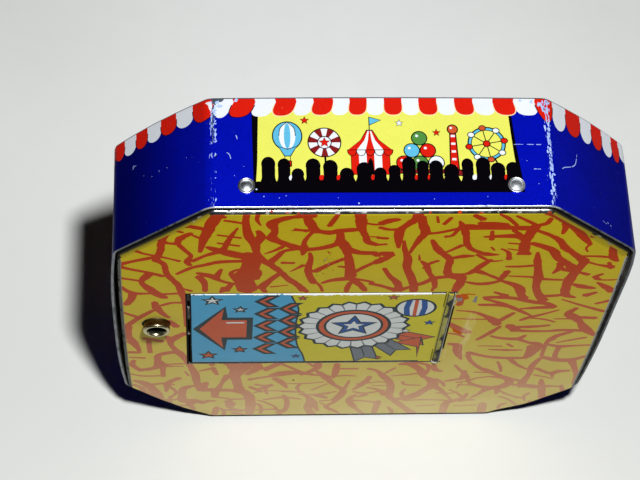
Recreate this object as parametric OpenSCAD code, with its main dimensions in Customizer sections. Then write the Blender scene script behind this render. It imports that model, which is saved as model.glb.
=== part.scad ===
// Eight-sided lithographed tin coin register bank, standing on its foot wall.
// X runs across the case, Y from the crackle-printed back plate to the printed face, Z up.
// The origin is the centre of the foot wall's outer face, halfway through the tray's depth.

/* [Case] */
// Width and height of the eight-sided case
case_w = 64; // [62:0.5:70]
// Depth of the tray, from its open rim to its printed face
case_t = 14.7; // [14.7:0.1:17]
// Length that each corner of the square is cut back by
cut = 11.6; // [10.5:0.1:12.5]
// Outer radius of the eight wall bends
bend_r = 2; // [1.6:0.1:2.4]
// Thickness of the tin sheet
sheet = 0.35; // [0.3:0.01:0.4]

/* [Back plate] */
// How far the back plate stands proud of the rim
plate_proud = 0.55; // [0.3:0.05:0.8]
// Gap between the tray wall and the back plate's skirt
plate_gap = 0.15; // [0.1:0.01:0.2]
// Depth of the back plate's skirt
skirt = 5.2; // [4.4:0.1:6]

/* [Hatch] */
// Length of the coin hatch, from its free end to its hinge barrel
hatch_l = 33.95; // [30:0.05:34]
// Height of the coin hatch
hatch_h = 21.6; // [20.6:0.1:22.4]
// Gap round the hatch
hatch_gap = 0.2; // [0.15:0.01:0.3]
// Outer radius of the hinge barrel
barrel_r = 0.65; // [0.6:0.01:0.7]
// Radius of the hinge pin
pin_r = 0.35; // [0.3:0.01:0.36]

/* [Button] */
// Outer radius of the brass button
button_r = 1.75; // [1.6:0.01:1.75]
// Radius of the hole in the button's end
button_bore_r = 1.225; // [1:0.005:1.25]
// How far the button stands out of the back plate
button_out = 1.2; // [1.1:0.05:1.6]
// Travel of the button, and of the catch that it pushes
travel = 1.0; // [0.8:0.05:1]

/* [Register] */
// Number of coins that fill the bank, one tooth each
teeth = 50; // [40:1:60]
// Radius over the tips of the ratchet teeth
wheel_r = 20; // [19:0.1:20]
// Depth of a ratchet tooth
tooth_d = 0.8; // [0.5:0.1:1]
// Radius of the printed number dial
dial_r = 17.5; // [16:0.1:17.6]
// Radius of the arbor that the wheel and the coin lever turn on
arbor_r = 1.5; // [1.2:0.05:1.5]

/* [Coin] */
// Diameter of the coin
coin_d = 17.9; // [17:0.1:18]
// Thickness of the coin
coin_t = 1.35; // [1.2:0.05:1.5]

/* [Hidden] */
$fn = 64;
e = 0.5;                    // how far a cutting shape runs past a face
half = case_w / 2;
yr = -case_t / 2;           // open rim of the tray
yf = case_t / 2;            // printed face, outside
yi = yf - sheet;            // printed face, inside
yp = yr - plate_proud;      // back plate, outside
ypi = yp + sheet;           // back plate, inside
inset = sheet + plate_gap;  // from the tray's outside to the skirt's outside

// Layers of the mechanism, measured from the inside of the printed face
m0 = yi - 5.4;  // mechanism plate, rear
m1 = yi - 4.8;  // mechanism plate, front
l0 = yi - 4.4;  // coin lever
l1 = yi - 3.8;
g0 = yi - 3.6;  // lock ring
w0 = yi - 2.9;  // ratchet wheel
w1 = yi - 2.1;
d0 = yi - 1.7;  // dial
d1 = yi - 1.4;
k0 = yi - 1.05; // clip groove
k1 = yi - 0.75;

// Hatch and hinge
hx = 10.5;                        // hinge axis
hy = yp + 0.3;
hatch_x0 = hx + barrel_r - hatch_l;
hz0 = half - 12;                  // lower edge of the hatch
hz1 = hz0 + hatch_h;
kz0 = hz0 + 4;                    // ends of the hatch's own barrel
kz1 = hz1 - 4;

// Button and catch
bx = -27.1;
bz = half + 0.9;
cone_y = yp + 1.7;                // where the button's nose starts to taper
c0 = yp + 2.4;                    // catch plate, rear and front
c1 = c0 + 0.45;
lip_x = hatch_x0;                 // right-hand edge of the catch plate
foot_y = c1 + 0.1;                // top of the hatch's catch foot

// Coin lever: the finger, the pawl's pivot and the pawl's tip, as radius and angle
finger = [21.64, 53.1];
pivot = [24, 60];
spring_stud = [12, 50];
post_at = [12, -4];               // spring post, from the wheel's centre
click_at = [-4, -24];             // click spring's post, from the wheel's centre
coin_z = half + 9.5;              // centre of a coin in the chute
coin_y = m0 - 1.45;               // middle of the coin's path
post_x = 22;
post_z = 21;
rivet_x = 15.92;
rivet_y = yr + 2.8;

function pol(r, a) = [r * cos(a), r * sin(a)];

// Corners of the octagon moved in by d, in order from the right-hand wall
function corner(d) = let (a = half - d, b = a - (cut - d * (2 - sqrt(2))))
    [[a, b], [b, a], [-b, a], [-a, b], [-a, -b], [-b, -a], [b, -a], [a, -b]];

// Octagon moved in by d, with its bends kept concentric: straight sides and true arcs
module oct(d) {
    r = bend_r - d;
    c = corner(bend_r);
    polygon([for (i = [0:7], k = [0:1]) c[i] + pol(r, 45 * (i + k))]);
    for (p = c) translate(p) circle(r = r);
}

// A flat outline in X and Z, given thickness from y0 to y1
module slab(y0, y1) translate([0, y1, 0]) rotate([90, 0, 0]) linear_extrude(y1 - y0) children();

// The same about the wheel's centre
module wslab(y0, y1) translate([0, 0, half]) slab(y0, y1) children();

// A round bar along Y from y0 to y1
module bar(x, z, r, y0, y1) translate([x, y1, z]) rotate([90, 0, 0]) cylinder(r = r, h = y1 - y0);

// A round bar along Y about the wheel's centre
module wbar(p, r, y0, y1) bar(p[0], half + p[1], r, y0, y1);

module block(a, b) translate(a) cube(b - a);

// Wire of radius r along a path of points, with n sides
function unit(v) = v / norm(v);
function tangents(p) = [for (i = [0:len(p) - 1]) unit(p[min(i + 1, len(p) - 1)] - p[max(i - 1, 0)])];
function flat_to(u, t) = unit(u - (u * t) * t);
function frames(t, u0) = [for (i = 0, u = flat_to(u0, t[0]); i < len(t);
    i = i + 1, u = i < len(t) ? flat_to(u, t[i]) : u) u];
module wire(p, r, n = 6, up = [0, 1, 0.3]) {
    t = tangents(p);
    u = frames(t, up);
    m = len(p);
    polyhedron(
        points = [for (i = [0:m - 1], k = [0:n - 1])
            p[i] + r * (cos(360 * k / n) * u[i] + sin(360 * k / n) * cross(t[i], u[i]))],
        faces = concat([[for (k = [0:n - 1]) k]],
            [for (i = [0:m - 2], k = [0:n - 1]) let (a = i * n + k, b = i * n + (k + 1) % n)
                [a, a + n, b + n]],
            [for (i = [0:m - 2], k = [0:n - 1]) let (a = i * n + k, b = i * n + (k + 1) % n)
                [a, b + n, b]],
            [[for (k = [n - 1:-1:0]) (m - 1) * n + k]]));
}

// ---------- case ----------

module front_shell() color([0.07, 0.1, 0.62]) difference() {
    translate([0, 0, half]) difference() {
        slab(yr, yf) oct(0);
        slab(yr - e, yi) oct(sheet);
    }
    // number window
    block([-18.5, yi - e, half - 1.7], [-11.5, yf + e, half + 1.7]);
    // coin slot in the right-hand wall
    block([half - 1, coin_y - 1, coin_z - coin_d / 2 - 0.55], [half + e, coin_y + 1, coin_z + coin_d / 2 + 0.55]);
    // holes of the posts and the rivets
    for (sx = [-1, 1], sz = [-1, 1]) bar(sx * post_x, half + sz * post_z, 1, yi - e, yf + e);
    for (sx = [-1, 1]) {
        translate([sx * rivet_x, rivet_y, case_w - 1]) cylinder(r = 0.62, h = 2);
        translate([sx * rivet_x, rivet_y, 0]) cylinder(r1 = 1.02, r2 = 0.62, h = sheet);
    }
}

module back_plate() color([0.74, 0.62, 0.12]) difference() {
    union() {
        translate([0, 0, half]) difference() {
            slab(yp, yp + skirt) oct(inset);
            slab(ypi, yp + skirt + e) oct(inset + sheet);
        }
        // hinge barrels at both ends of the hatch
        for (z = [[hz0, kz0], [kz1, hz1]]) translate([hx, hy, z[0]]) cylinder(r = barrel_r, h = z[1] - z[0]);
    }
    // hatch opening, which runs on to the right where the hatch's own barrel turns
    block([hatch_x0 - hatch_gap, yp - e, hz0 - hatch_gap], [hx - barrel_r - hatch_gap, ypi + e, hz1 + hatch_gap]);
    block([hx - barrel_r - 1, yp - e, kz0], [hx + barrel_r + hatch_gap, ypi + e, kz1]);
    for (z = [[hz0 - hatch_gap, hz0], [hz1, hz1 + hatch_gap]])
        block([hx - barrel_r - 1, yp - e, z[0]], [hx + barrel_r + hatch_gap, ypi + e, z[1]]);
    for (z = [hz0, kz1]) difference() {
        block([hx - barrel_r - hatch_gap - 0.05, yp - e, z - 0.01], [hx, ypi + e, z + 4.01]);
        translate([hx, hy, z - 1]) cylinder(r = barrel_r, h = 6);
    }
    translate([hx, hy, hz0 - 1]) cylinder(r = pin_r + 0.01, h = hatch_h + 2);
    bar(bx, bz, button_r + 0.05, yp - e, ypi + e);
    for (sx = [-1, 1], z = [-e, case_w - 2]) translate([sx * rivet_x, rivet_y, z]) cylinder(r = 0.62, h = 2 + e);
}

module case_rivets() color([0.78, 0.79, 0.8]) for (sx = [-1, 1]) {
    // upper pair: raised ring heads with a dished middle
    translate([sx * rivet_x, rivet_y, case_w]) rotate_extrude() polygon([
        [0, -1.3], [0.95, -1.3], [0.95, -inset - sheet], [0.61, -inset - sheet], [0.61, 0], [1, 0],
        [1, 0.16], [0.88, 0.3], [0.66, 0.3], [0.4, 0.02], [0, -0.06]]);
    // lower pair: countersunk, so that the foot wall stands flat
    translate([sx * rivet_x, rivet_y, 0]) rotate_extrude() polygon([
        [0, 0.02], [0.5, 0.02], [0.6, 0], [1, 0], [0.61, sheet], [0.61, inset + sheet], [0.95, inset + sheet],
        [0.95, 1.3], [0, 1.3]]);
}

// ---------- coin hatch ----------

module hatch() color([0.85, 0.75, 0.2]) difference() {
    union() {
        block([hatch_x0, yp, hz0], [hx - barrel_r - hatch_gap, ypi, hz1]);
        block([hx - barrel_r - 1, yp, kz0 + 0.1], [hx, ypi, kz1 - 0.1]);
        translate([hx, hy, kz0 + 0.1]) cylinder(r = barrel_r, h = kz1 - kz0 - 0.2);
        // turned-in long edges
        for (z = [hz0, hz1 - sheet]) block([hatch_x0, yp, z], [hx - 2.5, yp + 1.5, z + sheet]);
        // catch tongue with its foot
        block([hatch_x0 + 1.2, yp, bz - 3.1], [hatch_x0 + 1.2 + sheet, foot_y + sheet, bz + 3.1]);
        block([hatch_x0 + 0.25, foot_y, bz - 3.1], [hatch_x0 + 1.2 + sheet, foot_y + sheet, bz + 3.1]);
    }
    translate([hx, hy, hz0]) cylinder(r = pin_r + 0.05, h = hatch_h);
}

module hinge_pin() color([0.7, 0.7, 0.72]) translate([hx, hy, hz0]) cylinder(r = pin_r, h = hatch_h);

// Leaf that throws the hatch open when the catch lets go
module kick_spring() color([0.55, 0.56, 0.6]) translate([0, 0, bz - 4.9]) linear_extrude(6) polygon([
    [19, ypi], [13, ypi], [12, hy + barrel_r + 0.15], [9.3, hy + barrel_r + 0.15], [3.5, ypi + 0.07], [2.8, ypi + 0.2],
    [2.8, ypi + 0.4], [3.5, ypi + 0.28], [9.3, hy + barrel_r + 0.37], [12.1, hy + barrel_r + 0.37], [13.1, ypi + 0.22],
    [19, ypi + 0.22]]);

// ---------- button and catch ----------

module button() color([0.72, 0.55, 0.25]) translate([bx, 0, bz]) rotate([90, 0, 0]) mirror([0, 0, 1])
    rotate_extrude() polygon([
        [button_bore_r, yp - button_out], [button_r - 0.25, yp - button_out], [button_r - 0.07, yp - button_out + 0.2],
        [button_r, yp - button_out + 0.6], [button_r, ypi + 0.05], [2.6, ypi + 0.05], [2.6, ypi + 0.45],
        [button_r, ypi + 0.45], [button_r, cone_y], [0.25, cone_y + button_r - 0.25], [0, cone_y + button_r - 0.25],
        [0, yp + 1], [button_bore_r, yp + 1]]);

// Sliding catch: the nose of the button pushes its slanted edge, and its tail reaches the lock ring
module catch_slide() color([0.66, 0.67, 0.7]) {
    // the slanted edge stays 0.07 off the button's nose
    s = function (y) bx - (button_r - (y - cone_y)) - 0.07;
    difference() {
        block([-30, c0, bz - 3.8], [lip_x, c1, bz + 3.8]);
        translate([0, 0, bz - 1.9]) linear_extrude(3.8) polygon([
            [s(c0 - 0.2), c0 - 0.2], [lip_x - 1.4, c0 - 0.2], [lip_x - 1.4, c1 + 0.2], [s(c1 + 0.2), c1 + 0.2]]);
    }
    block([lip_x - 2.6, c0, bz + 3.7], [lip_x - 1.6, c1, bz + 8.1]);
    translate([lip_x - 3.4, (c0 + c1) / 2, bz + 6.3]) rotate([0, 90, 0]) cylinder(r = 0.6, h = 1);
    block([lip_x - 1, c0 + 0.1, half - 0.7], [lip_x - 0.6, l0 + 0.4, half + 0.7]);
    block([lip_x - 1, l0, half - 0.7], [-16.45, l0 + 0.4, half + 0.7]);
    block([-16.85, l0, half - 0.7], [-16.45, w0 - 0.2, half + 0.7]);
}

module catch_bracket() color([0.5, 0.51, 0.54]) {
    f0 = c1 + 0.15;
    difference() {
        block([-30.3, f0, bz - 4.3], [bx + 2, f0 + 0.4, bz + 4.3]);
        bar(bx, bz, 1.6, f0 - e, f0 + 0.4 + e);
    }
    // side rails, with ledges that the hatch's free end rests on
    block([-30.3, ypi, bz - 4.3], [-26.6, f0 + 0.01, bz - 3.9]);
    block([-31, ypi, bz + 3.9], [-26.6, f0 + 0.01, bz + 4.3]);
    for (z = [bz - 4.3, bz + 3.9]) block([-26.7, ypi + 0.05, z], [hatch_x0 + 0.8, ypi + 0.85, z + 0.4]);
    // seat of the catch spring
    block([-31, ypi, bz + 4], [-30.6, f0 + 0.4, bz + 7.9]);
}

module catch_spring() color([0.62, 0.63, 0.66])
    wire([for (i = [0:72]) let (a = i * 30, t = i / 72)
        [-30.44 + t * (lip_x - 2.6 + 30.44 - 0.16), (c0 + c1) / 2 + 0.95 * cos(a), bz + 6.3 + 0.95 * sin(a)]], 0.15, up = [1, 0, 0]);

// ---------- mechanism plate and coin path ----------

// Curved slot about the wheel's centre, with round ends a little wider than the slot
module arc_slot(r, w, a0, a1) {
    intersection() {
        difference() { circle(r = r + w / 2, $fn = 128); circle(r = r - w / 2, $fn = 128); }
        polygon([[0, 0], pol(2 * r, a0), pol(2 * r, a1)]);
    }
    for (a = [a0, a1]) translate(pol(r, a)) circle(r = w / 2 + 0.08);
}

module mechanism_plate() color([0.6, 0.62, 0.64]) difference() {
    wslab(m0, m1) difference() {
        oct(sheet + 0.3);
        arc_slot(finger[0], 2, finger[1] - 1, finger[1] + 11);
        circle(r = 1.21);
        for (sx = [-1, 1], sz = [-1, 1]) translate([sx * post_x, sz * post_z]) circle(r = 1);
        translate(click_at) circle(r = 0.61);
        translate(post_at) circle(r = 0.46);
    }
    block([lip_x - 1 - travel - 0.3, m0 - e, half - 1], [lip_x - 0.3, m1 + e, half + 1]);
}

module plate_posts() color([0.7, 0.71, 0.73]) for (sx = [-1, 1], sz = [-1, 1]) {
    x = sx * post_x;
    z = half + sz * post_z;
    bar(x, z, 1.5, m0 - 0.35, m0);
    bar(x, z, 0.99, m0 - 0.1, yf + 0.1);
    bar(x, z, 1.6, m1, yi);
    translate([x, yf, z]) rotate([-90, 0, 0]) cylinder(r1 = 1.5, r2 = 1.2, h = 0.25);
}

// Ledge and guard that carry a coin past the lever's finger
module coin_chute() color([0.62, 0.63, 0.66]) {
    z = coin_z - coin_d / 2 - 0.25;
    y0 = coin_y - 1.35;
    block([12, y0, z - 0.4], [31.2, m0, z]);
    block([12, y0, z - 0.4], [31.2, y0 + 0.35, z + 4.8]);
    block([14, m0 - 0.35, z - 3.6], [28, m0, z]);
}

module coin_lever() color([0.68, 0.69, 0.72]) {
    f = pol(finger[0], finger[1]);
    p = pol(pivot[0], pivot[1]);
    difference() {
        wslab(l0, l1) union() {
            circle(r = 4.5);
            translate(f) circle(r = 1.8);
            translate(p) circle(r = 1.8);
            polygon([pol(4.3, finger[1] - 85), f + pol(1.7, finger[1] - 85), f + pol(1.7, -20), p + pol(1.7, -10), p + pol(1.7, 150),
                f + pol(2.2, 150), pol(4.3, finger[1] + 85)]);
        }
        wbar([0, 0], arbor_r + 0.05, l0 - e, l1 + e);
        wbar(f, 0.71, l0 - e, l1 + e);
        wbar(p, 0.61, l0 - e, l1 + e);
    }
    wbar(pol(spring_stud[0], spring_stud[1]), 0.45, l1 - 0.1, w0 - 0.2);
}

// Pin that the coin pushes aside
module coin_finger() color([0.75, 0.76, 0.78]) {
    f = pol(finger[0], finger[1]);
    wbar(f, 0.7, coin_y - 1.1, l1 + 0.2);
    wbar(f, 0.5, l1, d0 + 0.1);
}

module pawl_pin() color([0.72, 0.55, 0.25]) {
    p = pol(pivot[0], pivot[1]);
    wbar(p, 0.6, l0, d0 + 0.1);
    wbar(p, 1.1, l1, w0 - 0.05);
}

module drive_pawl() color([0.7, 0.71, 0.73]) {
    p = pol(pivot[0], pivot[1]);
    difference() {
        wslab(w0, w1) union() {
            translate(p) circle(r = 1.5);
            polygon([p + pol(1.2, 100), pol(wheel_r + 1.1, 78.3), pol(wheel_r + 0.12, 78), p + pol(1.3, 255), p]);
        }
        wbar(p, 0.66, w0 - e, w1 + e);
    }
}

module pawl_spring() color([0.62, 0.63, 0.66]) {
    f = pol(finger[0], finger[1]);
    p = pol(pivot[0], pivot[1]);
    y = w1 + 0.22;
    q = concat(
        [for (a = [-150:30:0]) f + pol(0.66, a)],
        [for (a = [0:30:120]) p + pol(0.8, a)],
        [p + [-2.6, 1.25], p + [-4.6, 1.1]]);
    wire(concat([for (v = q) [v[0], y, half + v[1]]], [[p[0] - 4.75, y - 0.5, half + p[1] + 1.1]]), 0.1, up = [0, 1, 0]);
}

module lever_spring() color([0.62, 0.63, 0.66]) {
    a = pol(spring_stud[0], spring_stud[1]);
    b = post_at;
    l = norm(b - a);
    d = (b - a) / l;
    s = [-d[1], d[0]];
    ya = l1 + 0.35;
    yc = l1 - 0.05;
    at = function (t, u, y) [a[0] + d[0] * t + s[0] * u, y, half + a[1] + d[1] * t + s[1] * u];
    wire(concat(
        [for (k = [60:40:340]) at(0.62 * cos(k), 0.62 * sin(k), ya)],
        [at(2.4, 0, ya), at(4, 0.3, ya - 0.1)],
        [for (k = [0:120]) at(4.4 + k * (l - 8) / 120, 0.5 * cos(k * 30), yc + 0.5 * sin(k * 30))],
        [at(l - 3.1, 0.2, ya - 0.1), at(l - 2, 0, ya)],
        [for (k = [200:40:480]) at(l + 0.62 * cos(k), 0.62 * sin(k), ya)]), 0.11);
}

module spring_post() color([0.7, 0.71, 0.73]) {
    wbar(post_at, 0.9, m0 - 0.3, m0);
    wbar(post_at, 0.45, m0 - 0.1, w0 - 0.2);
    wbar(post_at, 0.8, m1, l1 - 0.2);
}

// ---------- register ----------

module register_wheel() color([0.7, 0.71, 0.74]) wslab(w0, w1) difference() {
    step = 360 / teeth;
    polygon([for (i = [0:teeth - 1], k = [0:1])
        k == 0 ? pol(wheel_r - tooth_d, i * step + 1) : pol(wheel_r, i * step + 1.3)]);
    circle(r = 2.81);
    for (a = [0:60:300]) translate(pol(10, a + 30)) circle(r = 3);
}

// Rim that holds the catch's tail until its one gap comes round
module lock_ring() color([0.6, 0.61, 0.64]) wslab(g0, w0) difference() {
    circle(r = 18.4, $fn = 128);
    circle(r = 18, $fn = 128);
    polygon([[0, 0], pol(30, 176.5), pol(30, 183.5)]);
}

module wheel_hub() color([0.74, 0.58, 0.28]) translate([0, 0, half]) rotate([90, 0, 0]) mirror([0, 0, 1])
    rotate_extrude() polygon([[arbor_r + 0.06, l1 + 0.1], [2.8, l1 + 0.1], [2.8, w1], [5, w1], [5, d0], [2.8, d0],
        [2.8, d1], [2.2, d1], [2.2, k0 - 0.05], [arbor_r + 0.06, k0 - 0.05]]);

module dial_disc() color([0.93, 0.92, 0.86]) wslab(d0, d1) difference() {
    circle(r = dial_r, $fn = 128);
    circle(r = 2.81);
}

module wheel_arbor() color([0.66, 0.67, 0.7]) translate([0, 0, half]) rotate([90, 0, 0]) mirror([0, 0, 1])
    rotate_extrude() polygon([[0, m0 - 0.35], [2, m0 - 0.35], [2, m0], [1.2, m0], [1.2, m1], [2.6, m1], [2.6, l0 - 0.05],
        [arbor_r, l0 - 0.05], [arbor_r, k0], [1.1, k0], [1.1, k1], [arbor_r, k1], [arbor_r, k1 + 0.25], [0, k1 + 0.25]]);

module arbor_clip() color([0.45, 0.46, 0.5]) wslab(k0 + 0.01, k1 - 0.01) difference() {
    circle(r = 2.7);
    circle(r = 1.11);
    polygon([[0, 0], pol(5, 60), pol(5, 120)]);
}

module click_post() color([0.7, 0.71, 0.73]) {
    wbar(click_at, 1.1, m0 - 0.3, m0);
    wbar(click_at, 0.6, m0 - 0.1, m1 + 0.1);
    wbar(click_at, 1.4, m1, w0);
    wbar(click_at, 0.79, w0 - 0.1, w1 + 0.1);
    wbar(click_at, 1.2, w1, w1 + 0.3);
}

module click_spring() color([0.6, 0.61, 0.64]) wslab(w0, w1) difference() {
    union() {
        translate(click_at) circle(r = 1.3);
        polygon([click_at + pol(1.28, 60), pol(wheel_r + 0.12, 232.2), pol(wheel_r + 0.4, 231.6), pol(wheel_r + 0.9, 233.4),
            click_at + pol(1.28, 150)]);
    }
    translate(click_at) circle(r = 0.8);
}

module window_lens() color([0.9, 0.95, 1, 0.35]) block([-20, yi - 0.35, half - 3.5], [-10, yi, half + 3.5]);

front_shell();
back_plate();
case_rivets();
hatch();
hinge_pin();
kick_spring();
button();
catch_slide();
catch_bracket();
catch_spring();
mechanism_plate();
plate_posts();
coin_chute();
coin_lever();
coin_finger();
lever_spring();
spring_post();
pawl_pin();
drive_pawl();
pawl_spring();
register_wheel();
lock_ring();
wheel_hub();
dial_disc();
wheel_arbor();
arbor_clip();
click_post();
click_spring();
window_lens();
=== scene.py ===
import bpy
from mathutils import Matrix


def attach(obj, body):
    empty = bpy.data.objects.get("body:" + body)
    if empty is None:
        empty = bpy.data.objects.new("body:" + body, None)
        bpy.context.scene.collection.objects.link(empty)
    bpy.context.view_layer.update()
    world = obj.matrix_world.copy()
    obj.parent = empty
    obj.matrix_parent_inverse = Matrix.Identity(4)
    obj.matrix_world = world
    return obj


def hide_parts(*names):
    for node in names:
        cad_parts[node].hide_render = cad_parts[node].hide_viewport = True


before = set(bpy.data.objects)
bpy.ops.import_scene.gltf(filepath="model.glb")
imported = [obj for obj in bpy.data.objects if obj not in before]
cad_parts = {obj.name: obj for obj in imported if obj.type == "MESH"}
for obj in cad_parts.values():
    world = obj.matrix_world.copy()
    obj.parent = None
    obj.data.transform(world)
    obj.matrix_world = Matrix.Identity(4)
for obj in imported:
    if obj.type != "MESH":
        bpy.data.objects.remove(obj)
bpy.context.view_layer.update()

import math
import random

import bpy
import bmesh
from mathutils import Vector, Matrix
from mathutils.geometry import delaunay_2d_cdt

sin, cos, pi, rad = math.sin, math.cos, math.pi, math.radians
MM = 0.001
scene = bpy.context.scene
scene.view_settings.view_transform = 'Standard'

# ------------------------------------------------------------------ numbers shared with the CAD, in mm
HALF, CUT, BEND, SHEET = 32.0, 11.6, 2.0, 0.35
YR, YF, YP, ZC = -7.35, 7.35, -7.9, 32.0
HX, HY, BR, PR = 10.5, -7.6, 0.65, 0.35
HX0, HX1, HZ0, HZ1 = -22.8, 9.78, 20.0, 41.6
BX, BZ = -27.1, 32.9


# ------------------------------------------------------------------ materials
def new_mat(name):
    m = bpy.data.materials.new(name)
    m.use_nodes = True
    nt = m.node_tree
    nt.nodes.clear()
    out = nt.nodes.new("ShaderNodeOutputMaterial")
    b = nt.nodes.new("ShaderNodeBsdfPrincipled")
    nt.links.new(b.outputs[0], out.inputs[0])
    return m, nt, b


class G:
    """Short hand for building a node tree."""

    def __init__(self, nt):
        self.nt = nt
        self.co = nt.nodes.new("ShaderNodeTexCoord").outputs["Object"]

    def link(self, a, b):
        self.nt.links.new(a, b)

    def put(self, sock, v):
        if isinstance(v, bpy.types.NodeSocket):
            self.link(v, sock)
        elif isinstance(v, (tuple, list)) and len(v) == 3 and sock.type == 'RGBA':
            sock.default_value = (*v, 1)
        else:
            sock.default_value = v

    def stretch(self, scale, rot=(0, 0, 0)):
        n = self.nt.nodes.new("ShaderNodeMapping")
        n.inputs["Scale"].default_value = scale
        n.inputs["Rotation"].default_value = rot
        self.link(self.co, n.inputs[0])
        return n.outputs[0]

    def noise(self, scale, detail=2.0, rough=0.5, co=None, dist=0.0):
        n = self.nt.nodes.new("ShaderNodeTexNoise")
        n.inputs["Scale"].default_value = scale
        n.inputs["Detail"].default_value = detail
        n.inputs["Roughness"].default_value = rough
        n.inputs["Distortion"].default_value = dist
        self.link(co or self.co, n.inputs["Vector"])
        return n.outputs["Fac"]

    def cells(self, scale, feature='F1', co=None):
        n = self.nt.nodes.new("ShaderNodeTexVoronoi")
        n.feature = feature
        n.inputs["Scale"].default_value = scale
        self.link(co or self.co, n.inputs["Vector"])
        return n.outputs["Distance"]

    def math(self, op, a, b=0.0, c=0.0, clamp=False):
        n = self.nt.nodes.new("ShaderNodeMath")
        n.operation = op
        n.use_clamp = clamp
        for i, v in enumerate((a, b, c)):
            self.put(n.inputs[i], v)
        return n.outputs[0]

    def ramp(self, v, a, b, lo=0.0, hi=1.0, smooth=False):
        n = self.nt.nodes.new("ShaderNodeMapRange")
        n.interpolation_type = 'SMOOTHSTEP' if smooth else 'LINEAR'
        for k, x in (("Value", v), ("From Min", a), ("From Max", b), ("To Min", lo), ("To Max", hi)):
            self.put(n.inputs[k], x)
        return n.outputs[0]

    def mix(self, f, a, b, kind='MIX'):
        n = self.nt.nodes.new("ShaderNodeMix")
        n.data_type = 'RGBA'
        n.blend_type = kind
        self.put(n.inputs[0], f)
        self.put(n.inputs[6], a)
        self.put(n.inputs[7], b)
        return n.outputs[2]

    def attr(self, name):
        n = self.nt.nodes.new("ShaderNodeAttribute")
        n.attribute_name = name
        return n.outputs["Fac"]

    def sep(self):
        n = self.nt.nodes.new("ShaderNodeSeparateXYZ")
        self.link(self.co, n.inputs[0])
        return n.outputs

    def bump(self, h, strength, dist, b):
        n = self.nt.nodes.new("ShaderNodeBump")
        n.inputs["Strength"].default_value = strength
        n.inputs["Distance"].default_value = dist
        self.link(h, n.inputs["Height"])
        self.link(n.outputs[0], b.inputs["Normal"])


TIN_CHIP = (0.50, 0.53, 0.58)


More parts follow.
